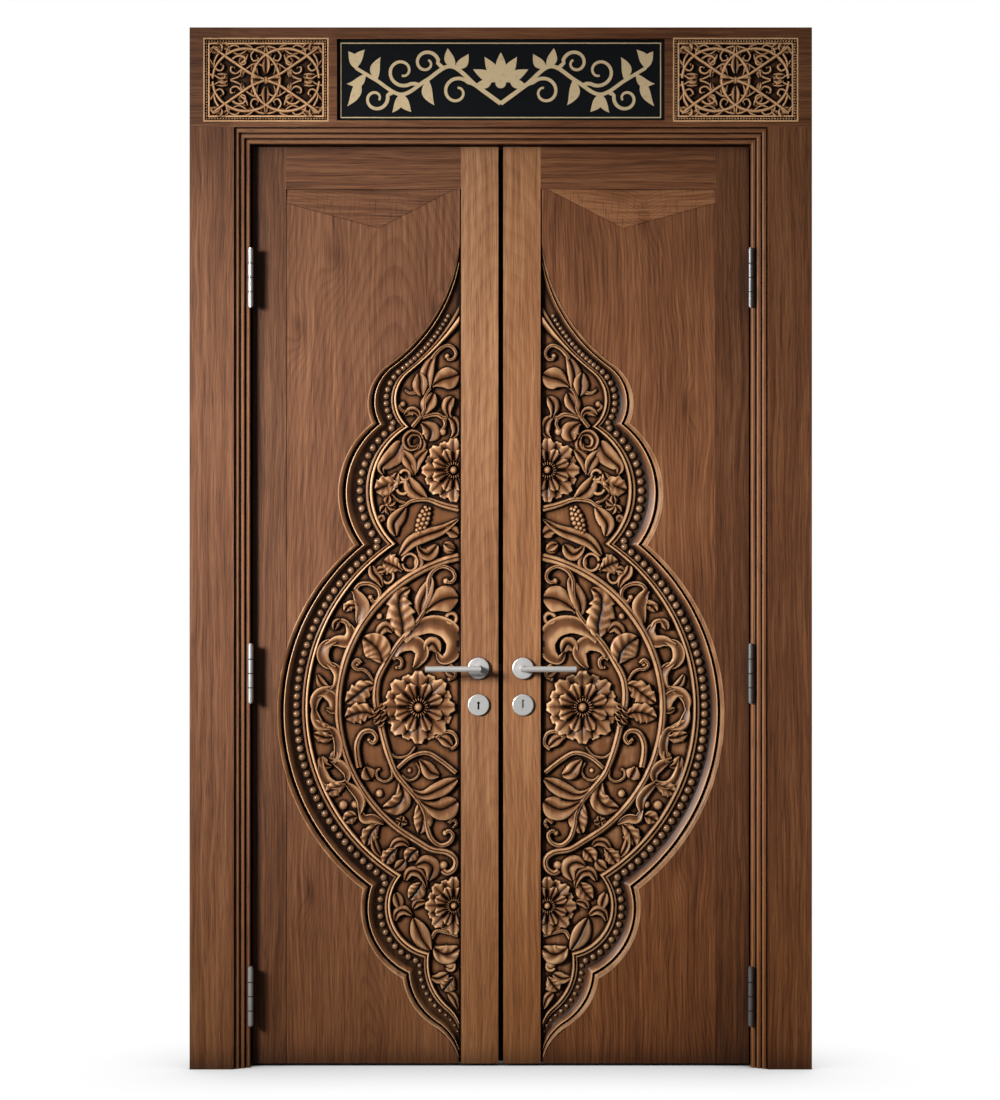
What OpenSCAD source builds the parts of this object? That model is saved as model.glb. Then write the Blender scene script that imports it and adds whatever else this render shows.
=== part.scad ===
// Carved double-leaf door in its frame, millimetres.
// X runs to the right seen from the front, Z up from the floor, and the front looks along -Y.
// The middle of the leaf thickness is y = 0. Left and right are as seen from the front.

/* [Opening] */
// Clear width between the two jamb reveals
opening_w = 1212; // [1190:1:1500]
// Clear height from the floor to the head reveal
opening_h = 2234; // [2180:1:2500]

/* [Frame] */
// Width of the flat casing outside the moulding
casing_w = 106.5; // [70:0.5:140]
// Thickness of casing and lintel board
casing_t = 28; // [24:0.5:40]
// Height of the lintel board
lintel_h = 240; // [230:1:320]
// Width of one of the three stepped bands
band_w = 9; // [7:0.5:12]
// Width of the dark quirk beside each band
quirk_w = 3.5; // [2:0.5:6]
// Step in depth from one band to the next
band_step = 7; // [5:0.5:9]
// Radius on the inner edge of each band
band_r = 4; // [2:0.5:6]
// Depth of a quirk below its band
quirk_d = 4; // [2:0.5:6]
// How far the door stop stands into the opening
stop_w = 14; // [10:1:20]
// Depth of the door stop behind the leaf
stop_d = 36; // [30:1:60]
// Diameter of the anchor holes through the jambs
anchor_d = 10; // [8:0.5:12]

/* [Leaf] */
// Thickness of a leaf
leaf_t = 45; // [44:0.5:54]
// Depth of the leaf face behind the innermost band
leaf_recess = 24; // [20:1:30]
// Gap between leaf and jamb, which the two hinge plates fill
hinge_gap = 4; // [3.6:0.1:5]
// Gap between the two leaves
meeting_gap = 12; // [11.5:0.5:14]
// Gap over the leaf
top_gap = 4; // [3:0.5:6]
// Gap under the leaf
floor_gap = 6; // [4:0.5:12]
// Gap between leaf and door stop
stop_gap = 1.5; // [1:0.1:3]
// Width of the stile that carries the hinges
hinge_stile_w = 81; // [70:1:100]
// Width of the stile at the meeting edge
meeting_stile_w = 90.5; // [86:0.5:98]
// Height of the top rail
top_rail_h = 102; // [80:1:120]
// Depth of the panel face behind the stiles
panel_recess = 1.5; // [0.5:0.1:3]
// Thickness of the panel tongue and the rail tenon
tongue_t = 12; // [8:0.5:14]
// Length of the tongue and the tenon
tongue_l = 12; // [8:0.5:16]
// Slack of the glued joints
joint_slack = 0.2; // [0.1:0.1:0.5]
// Slope of the two facets under the top rail, depth for each millimetre
facet_slope = 0.05; // [0.02:0.01:0.08]

/* [Carved medallion] */
// Depth of the pocket for the carving
pocket_d = 20; // [18:0.5:21]
// Slack between carving and pocket
carve_fit = 0.3; // [0.2:0.1:0.6]
// Width of the dark line between the meeting stile and the panel
dark_line_w = 2.5; // [1.5:0.25:3.5]
// Hollow under the ground, so that the carving rests on its border
back_hollow = 0.6; // [0.4:0.1:1]
// Thickness of the ground under the foliage
ground_t = 6; // [5:0.5:8]
// Height of the bead channel over the pocket floor
channel_h = 8; // [7:0.5:9]
// Size of the beads against the drawn size
bead_scale = 1; // [0.8:0.05:1.1]

/* [Hinges] */
// Height of a hinge
hinge_h = 138; // [120:1:160]
// Radius of the hinge barrel
knuckle_r = 6.5; // [6:0.25:7]
// Radius of the hinge pin
pin_r = 3; // [2.5:0.25:3.5]
// Clearance around the pin
pin_fit = 0.05; // [0.03:0.01:0.1]
// Thickness of a hinge plate
hinge_plate_t = 1.8; // [1.5:0.1:1.8]
// Distance from the head reveal down to the upper hinge
hinge_drop = 324; // [220:1:400]
// Height of the middle hinge
hinge_z2 = 954; // [900:1:1200]
// Height of the lower hinge
hinge_z1 = 174; // [120:1:260]

/* [Handles and lock] */
// Height of the lever axis
lever_z = 965; // [940:1:1050]
// Distance from the leaf edge to the lever axis
backset = 48; // [46:0.5:50]
// Radius of the lever bar
bar_r = 7; // [6:0.25:8]
// Length of the lever from its axis
lever_l = 128; // [110:1:140]
// Distance of the bar axis from the leaf face
lever_out = 53; // [45:1:60]
// Radius of a rose
rose_r = 26; // [24:0.5:30]
// Thickness of a rose
rose_t = 9; // [7:0.5:11]
// Clearance of the lever neck in its rose
neck_fit = 0.05; // [0.03:0.01:0.1]
// Distance from the lever axis down to the keyhole
key_drop = 89; // [80:1:95]
// Thickness of a keyhole plate
key_plate_t = 6; // [4:0.5:8]
// Radius of the round part of the keyhole
key_r = 3.5; // [3:0.25:4]
// Thickness of the lock case
case_t = 16; // [15:0.5:18]
// Depth of the lock case from the leaf edge
case_d = 72; // [68:1:76]
// Rest projection of the latch bolt
latch_out = 8.5; // [7:0.5:9]
// Side of the square spindle
spindle_a = 8; // [7:0.5:9]
// Radius of the bolts in the fixed leaf
flush_r = 5; // [4:0.5:6]
// Throw of the bolts in the fixed leaf
flush_throw = 15; // [10:1:16]

/* [Lintel panels] */
// Height of a carved lintel panel
lintel_panel_h = 202; // [200:1:210]
// Wood between a carved lintel panel and the end of the lintel
lintel_end_w = 33; // [20:1:50]
// Wood between the centre panel and a carved lintel panel
lintel_gap_w = 20; // [12:1:30]
// Width of the dark centre panel
centre_panel_w = 790; // [760:2:800]
// Height of the dark centre panel
centre_panel_h = 196; // [190:1:206]
// Depth of the recesses in the lintel
lintel_recess = 17; // [15:0.5:20]

/* [Hidden] */
$fn = 48;

// Frame positions
jamb_x = opening_w / 2;
mould_w = 3 * (band_w + quirk_w);
casing_x = jamb_x + mould_w;
outer_x = casing_x + casing_w;
lintel_z = opening_h + mould_w;
lintel_top = lintel_z + lintel_h;
leaf_front = -leaf_t / 2;
band_y = leaf_front - leaf_recess;
front_y = band_y - 3 * band_step;
casing_back = front_y + casing_t;
stop_y = leaf_t / 2 + stop_gap;
frame_back = stop_y + stop_d;
anchor_y = stop_y + stop_d / 2;
anchor_zs = [150, 800, opening_h - 800, opening_h - 150];

// Leaf positions, for the right leaf
leaf_in = meeting_gap / 2;
leaf_out = jamb_x - hinge_gap;
leaf_top = opening_h - top_gap;
stile_in = leaf_in + meeting_stile_w;
stile_out = leaf_out - hinge_stile_w;
rail_z = leaf_top - top_rail_h;
panel_y = leaf_front + panel_recess;
pocket_y = leaf_front + pocket_d;
tongue_y = pocket_y + 4;
face_h = pocket_d - panel_recess;

// Hinge and lock positions
pin_x = jamb_x - hinge_gap / 2;
pin_y = band_y - knuckle_r - 1;
hinge_zs = [hinge_z1, hinge_z2, opening_h - hinge_drop];
knuckle_l = hinge_h / 4;
knuckle_gap = 0.4;
hinge_plate_y = leaf_t / 2 - 5;
lever_x = leaf_in + backset;
key_z = lever_z - key_drop;
hub_r = spindle_a / 2 * sqrt(2) + 3;
case_low = key_z - 40;
case_high = lever_z + 45;
forend_t = 3;
forend_w = 20;
latch_h = 16;
latch_w = 12;
dead_h = 26;
dead_throw = 20;
slide_fit = 0.1;
latch_tail = lever_x - hub_r - latch_out - 3;
dead_tail = lever_x - key_r - 4;
brush_w = 6;
brush_y = forend_w / 2 + 2 + brush_w / 2;
brush_seat = 6;
flush_x = leaf_in + 13;
flush_l = 200;
flush_slot = 60;
keep_t = 2;

// Colours
wood = [0.40, 0.25, 0.16];
light_wood = [0.52, 0.37, 0.26];
dark_wood = [0.30, 0.18, 0.11];
steel = [0.72, 0.72, 0.70];
black = [0.04, 0.05, 0.07];
gilt = [0.80, 0.68, 0.46];

// The medallion is drawn for a panel of this width and height and follows the real panel
drawn_panel = [424.5, 2128];
carve_fit_u = (stile_out - stile_in) / drawn_panel[0];
carve_fit_z = rail_z / drawn_panel[1];
function fitted(p) = [p[0] * carve_fit_u, p[1] * carve_fit_z];

// The lintel ornaments are drawn for panels of these sizes
drawn_strap = [302, 202];
drawn_gilt = [790, 196];

// Outline of the medallion: outer and inner chain of arcs, each centre and radius.
// u runs from the meeting stile toward the hinges, the second value is the height.
outer_lobes = [[[112, 1607], 115], [[78, 1388], 221], [[-92, 855], 540], [[45, 385], 199], [[-16, 232], 159]];
inner_lobes = [[[68, 1617], 86], [[33, 1397], 178], [[-107, 870], 475], [[55, 389], 114], [[-63, 250], 139]];
outer_tip_r = 423;
outer_foot_r = 136;
inner_foot_r = 85;
inner_tip_r = 1356;
inner_tip_a = 50.7;
arc_steps = [7, 5, 7, 13, 6, 4, 3];
arc_beads = [15, 9, 15, 44, 12, 8, 6];
arc_bead_r = [[3.2, 6], [6.4, 6.4], [7.8, 8.2], [8.7, 8.7], [7, 6.6], [5.2, 4.6], [4, 2.6]];

function tangent_tip(l, r) = [r, l[0][1] + sqrt(pow(r + l[1], 2) - pow(r - l[0][0], 2))];
function tangent_foot(l, r) = [r, l[0][1] - sqrt(pow(r + l[1], 2) - pow(r - l[0][0], 2))];
outer_tip = tangent_tip(outer_lobes[0], outer_tip_r);
outer_foot = tangent_foot(outer_lobes[4], outer_foot_r);
inner_foot = tangent_foot(inner_lobes[4], inner_foot_r);
inner_tip = inner_lobes[0][0] + (inner_lobes[0][1] + inner_tip_r) * [cos(inner_tip_a), sin(inner_tip_a)];

function meet(a, b) =
  let (v = b[0] - a[0], d = norm(v), m = (a[1] * a[1] - b[1] * b[1] + d * d) / (2 * d),
    k = sqrt(a[1] * a[1] - m * m), e = v / d)
  a[0] + m * e + k * [-e[1], e[0]] * (e[1] < 0 ? 1 : -1);
function side_angle(c, p) = let (a = atan2(p[1] - c[1], p[0] - c[0])) a < 0 ? a + 360 : a;
function front_angle(c, p) = atan2(p[1] - c[1], p[0] - c[0]);
function touch(a, b) = a[0] + a[1] * (b - a[0]) / norm(b - a[0]);
function zero_u(c, r) = [0, c[1] - sqrt(r * r - c[0] * c[0])];
function chain_knots(l, tip, tip_r, foot, foot_r) = [
  tip_r > tip[0] ? zero_u(tip, tip_r) : [0, tip[1]],
  touch(l[0], tip), meet(l[0], l[1]), meet(l[1], l[2]), meet(l[2], l[3]), meet(l[3], l[4]),
  touch(l[4], foot), [0, foot[1]]];
function hollow(c, r, p, q, s) = let (a = side_angle(c, p), b = side_angle(c, q), t = a + (b - a) * s)
  c + r * [cos(t), sin(t)];
function round_arc(l, p, q, s) = let (a = front_angle(l[0], p), b = front_angle(l[0], q), t = a + (b - a) * s)
  l[0] + l[1] * [cos(t), sin(t)];
function chain_point(l, k, tip, tip_r, foot, foot_r, i, s) =
  i == 0 ? hollow(tip, tip_r, k[0], k[1], s) :
  i == 6 ? hollow(foot, foot_r, k[6], k[7], s) :
  round_arc(l[i - 1], k[i], k[i + 1], s);
outer_knots = chain_knots(outer_lobes, outer_tip, outer_tip_r, outer_foot, outer_foot_r);
inner_knots = chain_knots(inner_lobes, inner_tip, inner_tip_r, inner_foot, inner_foot_r);
function outer_at(i, s) = chain_point(outer_lobes, outer_knots, outer_tip, outer_tip_r, outer_foot, outer_foot_r, i, s);
function inner_at(i, s) = chain_point(inner_lobes, inner_knots, inner_tip, inner_tip_r, inner_foot, inner_foot_r, i, s);
function border_at(i, s, f) = fitted(outer_at(i, s) * (1 - f) + inner_at(i, s) * f);
function border_line(f) = concat(
  [for (i = [0:6]) for (j = [0:arc_steps[i] - 1]) border_at(i, j / arc_steps[i], f)], [border_at(6, 1, f)]);

// Section of the border: fraction across it, then height over the pocket floor
border_section = [[0, 0], [0, face_h], [0.08, face_h - 1], [0.155, 12], [0.165, ground_t - 1], [0.22, ground_t - 1],
  [0.235, 16], [0.29, 16], [0.32, channel_h], [0.80, channel_h], [0.84, 16], [0.94, 17], [1, ground_t - 1], [1, 0]];

// Smooth line through hand-placed points
function smooth_at(p, i, t) =
  let (a = p[max(i - 1, 0)], b = p[i], c = p[i + 1], d = p[min(i + 2, len(p) - 1)])
  0.5 * (2 * b + (c - a) * t + (2 * a - 5 * b + 4 * c - d) * t * t + (3 * b - a - 3 * c + d) * t * t * t);
function smooth(p, m) = concat([for (i = [0:len(p) - 2]) for (j = [0:m - 1]) smooth_at(p, i, j / m)], [p[len(p) - 1]]);
function scroll(c, r, a, turn, n = 7) =
  [for (i = [0:n]) let (f = i / n, q = r * (1 - 0.72 * f)) c + q * [cos(a + turn * f), sin(a + turn * f)]];
function heading(p, i) = let (v = p[min(i + 1, len(p) - 1)] - p[max(i - 1, 0)]) v / norm(v);
function flip(p) = [p[0], p[2], p[1]];

// A carved ridge along a line: half widths and heights at each point, foot at z = low
module ridge(p, w, h, low = ground_t) {
  n = len(p);
  pts = [for (i = [0:n - 1]) let (d = heading(p, i), s = [-d[1], d[0]])
    each [[p[i][0] + s[0] * w[i], p[i][1] + s[1] * w[i], low], [p[i][0], p[i][1], h[i]],
      [p[i][0] - s[0] * w[i], p[i][1] - s[1] * w[i], low]]];
  walls = [for (i = [0:n - 2]) let (a = 3 * i, b = a + 3) each [[a, b, b + 1], [a, b + 1, a + 1],
    [a + 1, b + 1, b + 2], [a + 1, b + 2, a + 2], [a + 2, b + 2, b], [a + 2, b, a]]];
  e = 3 * (n - 1);
  polyhedron(pts, concat(walls, [[0, 1, 2], [e, e + 2, e + 1]]));
}

// A stem that thins from its root to its tip and may end in a curl
module stem(p, w0, w1, h0, h1, curl = [], m = 2, low = ground_t) {
  q = concat(smooth(p, m), curl);
  n = len(q) - 1;
  ridge(q, [for (i = [0:n]) w0 + (w1 - w0) * i / n], [for (i = [0:n]) h0 + (h1 - h0) * i / n], low);
}

// A leaf from root to tip, with its widest part before the middle
module leaf(a, b, w, bend = 0.12, h = 15, low = ground_t) {
  v = b - a;
  s = [-v[1], v[0]] * bend;
  q = [a, a + v * 0.32 + s * 0.8, a + v * 0.68 + s * 0.8, b];
  d = h - low;
  ridge(q, [w * 0.14, w * 0.5, w * 0.42, 0.6], [low + d * 0.5, low + d * 0.9, h, low + d * 0.4], low);
}

// A knob or the eye of a scroll
module knob(c, r, h = 14) {
  hull() {
    translate([c[0], c[1], ground_t]) cylinder(h = 0.5, r = r, $fn = 7);
    translate([c[0], c[1], h - 0.5]) cylinder(h = 0.5, r = r * 0.5, $fn = 7);
  }
}

// A rosette with pointed petals round a raised heart
module rosette(c, r, petals) {
  n = 2 * petals;
  rings = [[0.22, 0.22, 17, 17], [0.30, 0.30, 9, 9], [0.62, 0.62, 17, 11], [1, 0.74, ground_t, ground_t]];
  k = len(rings);
  pts = concat([for (g = rings) for (i = [0:n - 1]) let (odd = i % 2, q = r * g[odd], a = 180 * i / petals)
    [c[0] + q * cos(a), c[1] + q * sin(a), g[2 + odd]]], [[c[0], c[1], 19], [c[0], c[1], ground_t]]);
  sides = [for (g = [0:k - 2]) for (i = [0:n - 1]) let (a = g * n + i, b = g * n + (i + 1) % n, d = a + n, e = b + n)
    each [[a, b, e], [a, e, d]]];
  top = [for (i = [0:n - 1]) [k * n, (i + 1) % n, i]];
  low = [for (i = [0:n - 1]) [k * n + 1, (k - 1) * n + i, (k - 1) * n + (i + 1) % n]];
  polyhedron(pts, concat(sides, top, low));
}

// The border swept along the medallion
module border() {
  lines = [for (s = border_section) border_line(s[0])];
  n = len(lines[0]);
  k = len(border_section);
  pts = [for (i = [0:n - 1]) for (j = [0:k - 1]) [lines[j][i][0], lines[j][i][1], border_section[j][1]]];
  walls = [for (i = [0:n - 2]) for (j = [0:k - 1])
    let (a = i * k + j, b = i * k + (j + 1) % k, d = a + k, e = b + k) each [[a, d, e], [a, e, b]]];
  caps = [[for (j = [0:k - 1]) j], [for (j = [k - 1:-1:0]) (n - 1) * k + j]];
  polyhedron(pts, concat(walls, caps));
}

// The vine between the border and the inner rim
vine_c = [-92, 870];
function vine_at(a) = vine_c + (424 + 13 * sin(a * 24)) * [cos(a), sin(a)];

module vine() {
  q = [for (a = [-47:3.75:46.75]) vine_at(a)];
  n = len(q) - 1;
  ridge(q, [for (i = [0:n]) 4.5], [for (i = [0:n]) 14]);
  for (i = [0:11]) {
    a = -41.25 + 7.5 * i;
    up = i % 2 == 0 ? 1 : -1;
    o = vine_c + (424 + up * 13) * [cos(a), sin(a)];
    e = vine_c + (424 - up * 20) * [cos(a + 3), sin(a + 3)];
    leaf(o, e, 26, 0.3 * up, 15);
  }
}

rim_c = [-75, 871];
module inner_rim() {
  q = concat([for (a = [78:-6.4:-76]) rim_c + 373 * [cos(a), sin(a)]], scroll([38, 489], 26, 140, 330, 7));
  n = len(q) - 1;
  ridge(q, [for (i = [0:n]) i < 20 ? 8 : 8 - (i - 20) * 0.3], [for (i = [0:n]) 17]);
}

module foliage() {
  rosette([17.5, 1446], 72, 8);
  rosette([104, 871], 80, 9);
  rosette([17, 386], 63, 8);
  // Top lobe
  stem([[119, 1547], [94, 1587], [83, 1629], [72, 1670]], 8, 4, 14, 17, scroll([27, 1719], 34, 0, 380));
  stem([[97, 1569], [55, 1582], [30, 1572]], 7, 4, 14, 16, scroll([38, 1540], 25, 150, 300, 6));
  leaf([80, 1643], [6, 1679], 42, -0.15);
  leaf([88, 1633], [105, 1682], 27, 0.1);
  leaf([92, 1576], [68, 1634], 28, 0.1);
  leaf([40, 1570], [19, 1624], 19, -0.15);
  leaf([97, 1551], [64, 1527], 28, 0.1);
  knob([113, 1518], 20, 12);
  // Upper lobe
  leaf([143, 1510], [190, 1444], 32, 0.15);
  leaf([110, 1441], [143, 1488], 28, -0.15);
  leaf([84, 1374], [129, 1430], 34, 0.15);
  stem([[5, 1348], [48, 1366], [90, 1373], [126, 1362], [137, 1350]], 6, 7, 14, 14);
  leaf([137, 1358], [157, 1288], 30, -0.15);
  leaf([150, 1394], [203, 1399], 24, 0.15);
  leaf([160, 1404], [180, 1436], 20, -0.1);
  leaf([101, 1291], [87, 1352], 32, 0.05);
  knob([185, 1362], 17);
  stem([[143, 1240], [119, 1273], [65, 1293], [30, 1312], [5, 1336]], 6, 5, 14, 14);
  leaf([62, 1291], [8, 1330], 24, 0.12);
  leaf([101, 1245], [56, 1266], 28, -0.1);
  knob([26, 1256], 17);
  // Big lobe, upper half
  stem([[198, 858], [208, 892], [201, 932], [184, 977], [157, 1018], [136, 1048], [102, 1086], [84, 1122],
    [74, 1158]], 7, 4, 15, 17, scroll([36, 1186], 30, 10, 400));
  leaf([140, 1058], [148, 1158], 50, 0.1, 17);
  leaf([191, 994], [239, 1041], 44, 0.12);
  leaf([212, 926], [278, 882], 42, 0.15);
  leaf([212, 850], [279, 852], 38, -0.12);
  leaf([88, 1110], [7, 1143], 44, -0.15);
  stem([[136, 1041], [102, 1065], [62, 1068], [25, 1051], [12, 1018], [31, 987], [54, 998]], 15, 5, 15, 16);
  stem([[160, 999], [130, 1022], [100, 1011], [103, 977]], 11, 5, 14, 15);
  stem([[211, 932], [226, 952], [246, 964]], 5, 4, 12, 13);
  knob([251, 975], 11);
  knob([197, 1092], 11);
  leaf([201, 1040], [168, 1059], 20, 0.15);
  knob([29, 968], 13);
  knob([197, 842], 19, 16);
  // Big lobe, lower half
  stem([[194, 823], [181, 776], [167, 730], [147, 695], [109, 655], [86, 610], [79, 575]], 7, 4, 15, 17,
    scroll([43, 558], 29, -20, -380));
  stem([[236, 724], [249, 750]], 6, 4, 14, 16, scroll([220, 786], 38, -22, 400));
  stem([[147, 695], [110, 664], [72, 656], [40, 672], [9, 692]], 8, 12, 13, 15);
  stem([[109, 655], [72, 627], [38, 621], [9, 638]], 8, 17, 13, 16);
  stem([[164, 722], [123, 746], [86, 757], [48, 736], [12, 709]], 8, 5, 14, 14);
  stem([[174, 764], [147, 747], [116, 757], [108, 774]], 5, 4, 12, 13);
  leaf([96, 740], [55, 706], 24, 0.12);
  leaf([150, 689], [193, 622], 40, -0.2);
  leaf([102, 636], [102, 564], 38, 0.1);
  stem([[204, 712], [191, 690], [169, 702], [170, 726]], 6, 4, 13, 13);
  knob([225, 709], 15);
  knob([123, 716], 22, 12);
  knob([143, 590], 15);
  leaf([54, 792], [16, 780], 24, -0.3);
  vine();
  inner_rim();
  // Ends of the outer band
  leaf([150, 1248], [196, 1206], 40, 0.1);
  leaf([214, 1168], [230, 1128], 24, -0.1);
  leaf([196, 540], [150, 500], 36, 0.1);
  leaf([120, 515], [140, 478], 24, 0.1);
  // Lower lobe
  leaf([86, 434], [79, 498], 34, 0.1);
  leaf([123, 413], [100, 440], 24, -0.1);
  leaf([144, 386], [157, 424], 20, -0.1);
  stem([[160, 352], [150, 373], [123, 369], [116, 348]], 6, 4, 13, 13);
  leaf([90, 284], [120, 350], 34, 0.1);
  leaf([66, 276], [12, 302], 32, 0.1);
  // Foot
  knob([24, 246], 14);
  leaf([66, 212], [34, 216], 20, 0.1);
  leaf([52, 190], [8, 208], 28, 0.1);
  leaf([30, 170], [8, 152], 18, 0.1);
}

module medallion() {
  intersection() {
    union() {
      border();
      translate([0, 0, back_hollow]) linear_extrude(ground_t - back_hollow)
        polygon(concat(border_line(0.92), [[-5, fitted(inner_knots[7])[1]], [-5, fitted(inner_knots[0])[1]]]));
      scale([carve_fit_u, carve_fit_z, 1]) foliage();
    }
    translate([dark_line_w, floor_gap, -5]) cube([900, opening_h, 65]);
  }
}

module bead(i, s, f = 0.56) {
  p = border_at(i, s, f);
  r = bead_scale * min(carve_fit_u, carve_fit_z) * (arc_bead_r[i][0] + (arc_bead_r[i][1] - arc_bead_r[i][0]) * s);
  if (p[0] > r + dark_line_w + 0.5 && p[1] > floor_gap + r + 0.5)
    translate([p[0], p[1], channel_h]) rotate_extrude() intersection() {
      circle(r, $fn = 32);
      square(r + 1);
    }
}

module bead_row() {
  for (i = [0:6]) for (j = [0:arc_beads[i] - 1]) bead(i, (i == 0 ? 0.3 : 0) + (i == 0 ? 0.7 : 1) * (j + 0.5) / arc_beads[i]);
}

// Places a carving drawn flat, with its third axis toward the viewer
module upright(x, y, z = 0) {
  translate([x, y, z]) rotate([90, 0, 0]) children();
}

// Draws for the right side, or mirrored for the left one
module sided(s) {
  if (s > 0) children();
  else mirror([1, 0, 0]) children();
}

module block(x0, x1, y0, y1, z0, z1) {
  translate([x0, y0, z0]) cube([x1 - x0, y1 - y0, z1 - z0]);
}

module rod_y(x, z, r, y0, y1) {
  translate([x, y0, z]) rotate([-90, 0, 0]) cylinder(h = y1 - y0, r = r);
}

module rod_z(x, y, r, z0, z1) {
  translate([x, y, z0]) cylinder(h = z1 - z0, r = r);
}

// Section of jamb and head: first value outward from the reveal, then depth
function band_round(s, y) = [for (a = [0:22.5:90]) [s + band_r - band_r * cos(a), y + band_r - band_r * sin(a)]];
function band_points(k) = let (s = k * (band_w + quirk_w), y = band_y - k * band_step)
  concat(band_round(s, y), [[s + band_w, y], [s + band_w, y + quirk_d], [s + band_w + quirk_w, y + quirk_d]]);
jamb_section = concat([[-stop_w, frame_back], [-stop_w, stop_y], [0, stop_y]],
  band_points(0), band_points(1), band_points(2), [[mould_w, frame_back]]);

module casing(s) {
  color(wood) sided(s) block(casing_x, outer_x, front_y, casing_back, 0, lintel_z);
}

module jamb(s) {
  color(wood) sided(s) difference() {
    translate([jamb_x, 0, 0]) linear_extrude(lintel_z) polygon(jamb_section);
    translate([jamb_x, 200, opening_h]) rotate([90, 0, 0]) linear_extrude(400)
      polygon([[-stop_w - 1, -stop_w - 1], [mould_w + 1, mould_w + 1], [-stop_w - 1, mould_w + 1]]);
    for (z = anchor_zs) translate([jamb_x - stop_w - 1, anchor_y, z])
      rotate([0, 90, 0]) cylinder(h = mould_w + stop_w + 2, d = anchor_d);
  }
}

module head_jamb() {
  color(wood) difference() {
    translate([-casing_x, 0, opening_h]) rotate([90, 0, 90]) linear_extrude(2 * casing_x)
      polygon([for (p = jamb_section) [p[1], p[0]]]);
    for (s = [-1, 1]) sided(s) translate([jamb_x, 200, opening_h]) rotate([90, 0, 0]) linear_extrude(400)
      polygon([[-stop_w - 1, -stop_w - 1], [mould_w + 1, mould_w + 1], [mould_w + 1, -stop_w - 1]]);
    rod_z(flush_x, 0, flush_r + 1.5, opening_h - 1, opening_h + flush_throw + 4);
  }
}

lintel_mid = lintel_z + lintel_h / 2 - 6;
lintel_panel_w = outer_x - lintel_end_w - lintel_gap_w - centre_panel_w / 2;
lintel_panel_x = centre_panel_w / 2 + lintel_gap_w + lintel_panel_w / 2;
lintel_floor = front_y + lintel_recess;

module lintel_board() {
  color(wood) difference() {
    block(-outer_x, outer_x, front_y, casing_back, lintel_z, lintel_top);
    for (s = [-1, 1]) sided(s) block(lintel_panel_x - lintel_panel_w / 2, lintel_panel_x + lintel_panel_w / 2,
      front_y - 1, lintel_floor, lintel_mid - lintel_panel_h / 2, lintel_mid + lintel_panel_h / 2);
    block(-centre_panel_w / 2, centre_panel_w / 2, front_y - 1, lintel_floor,
      lintel_mid - centre_panel_h / 2, lintel_mid + centre_panel_h / 2);
  }
}

module frame_strip(w, h, t, z0, z1) {
  translate([0, 0, z0]) linear_extrude(z1 - z0) difference() {
    square([w, h], center = true);
    square([w - 2 * t, h - 2 * t], center = true);
  }
}

// Flat shapes for the lintel: bands that thin from root to tip, and leaves
module flat_band(p, w0, w1, curl = [], m = 2) {
  q = concat(smooth(p, m), curl);
  n = len(q) - 1;
  edge = [for (i = [0:n]) let (d = heading(q, i)) [-d[1], d[0]] * (w0 + (w1 - w0) * i / n)];
  polygon(concat([for (i = [0:n]) q[i] + edge[i]], [for (i = [n:-1:0]) q[i] - edge[i]]));
}

module flat_leaf(a, b, w, bend = 0.1) {
  v = b - a;
  s = [-v[1], v[0]];
  t = s / norm(s) * w / 2;
  function at(f, g) = a + v * f + s * bend * f * (1 - f) * 4 + t * g;
  function half(f) = max(0.16 * (1 - f), sin(180 * pow(f, 0.82)));
  polygon(concat([for (i = [0:9]) at(i / 10, half(i / 10))], [b], [for (i = [9:-1:0]) at(i / 10, -half(i / 10))]));
}

function ring_line(c, r, q, n) = [for (i = [0:n - 1]) c + [r * cos(360 * i / n), q * sin(360 * i / n)]];

module strap_quarter() {
  flat_band([[132, 84], [110, 66], [70, 38], [34, 14], [0, 0]], 3.6, 3.6);
  flat_band([[110, 66], [121, 48]], 3.4, 2.2, scroll([112, 26], 16, 50, -330, 10), 1);
  flat_band([[84, 48], [70, 58]], 3.4, 2.2, scroll([60, 44], 15, 80, 330, 10), 1);
}

module leaf_quarter() {
  flat_leaf([108, 66], [134, 70], 13);
  flat_leaf([110, 66], [118, 86], 13, -0.1);
  flat_leaf([70, 38], [46, 64], 14, 0.15);
  flat_leaf([90, 12], [118, 4], 12);
  flat_leaf([12, 56], [3, 84], 10, -0.1);
  flat_leaf([34, 14], [30, 38], 11, 0.1);
}

module lintel_ornament() {
  union() {
    translate([-lintel_panel_w / 2, -lintel_panel_h / 2, 0]) cube([lintel_panel_w, lintel_panel_h, ground_t]);
    frame_strip(lintel_panel_w, lintel_panel_h, 4, 0, lintel_recess);
    frame_strip(lintel_panel_w - 8, lintel_panel_h - 8, 7, 0, lintel_recess - 7);
    frame_strip(lintel_panel_w - 22, lintel_panel_h - 22, 5, 0, lintel_recess - 2);
    linear_extrude(lintel_recess - 4) scale([lintel_panel_w / drawn_strap[0], lintel_panel_h / drawn_strap[1]]) {
      for (x = [-48, 48]) difference() {
        polygon(ring_line([x, 0], 85, 80, 40));
        polygon(ring_line([x, 0], 78, 73, 40));
      }
      for (a = [-1, 1]) for (b = [-1, 1]) scale([a, b, 1]) strap_quarter();
      circle(11, $fn = 16);
    }
    linear_extrude(lintel_recess - 6) scale([lintel_panel_w / drawn_strap[0], lintel_panel_h / drawn_strap[1]])
      for (a = [-1, 1]) for (b = [-1, 1]) scale([a, b, 1]) leaf_quarter();
  }
}

module lintel_carving(s) {
  color(dark_wood) sided(s) upright(lintel_panel_x, lintel_floor, lintel_mid) lintel_ornament();
}

centre_t = 6;
module centre_panel() {
  color(black) block(-centre_panel_w / 2 + 1, centre_panel_w / 2 - 1, lintel_floor - centre_t, lintel_floor,
    lintel_mid - centre_panel_h / 2 + 1, lintel_mid + centre_panel_h / 2 - 1);
}

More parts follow.
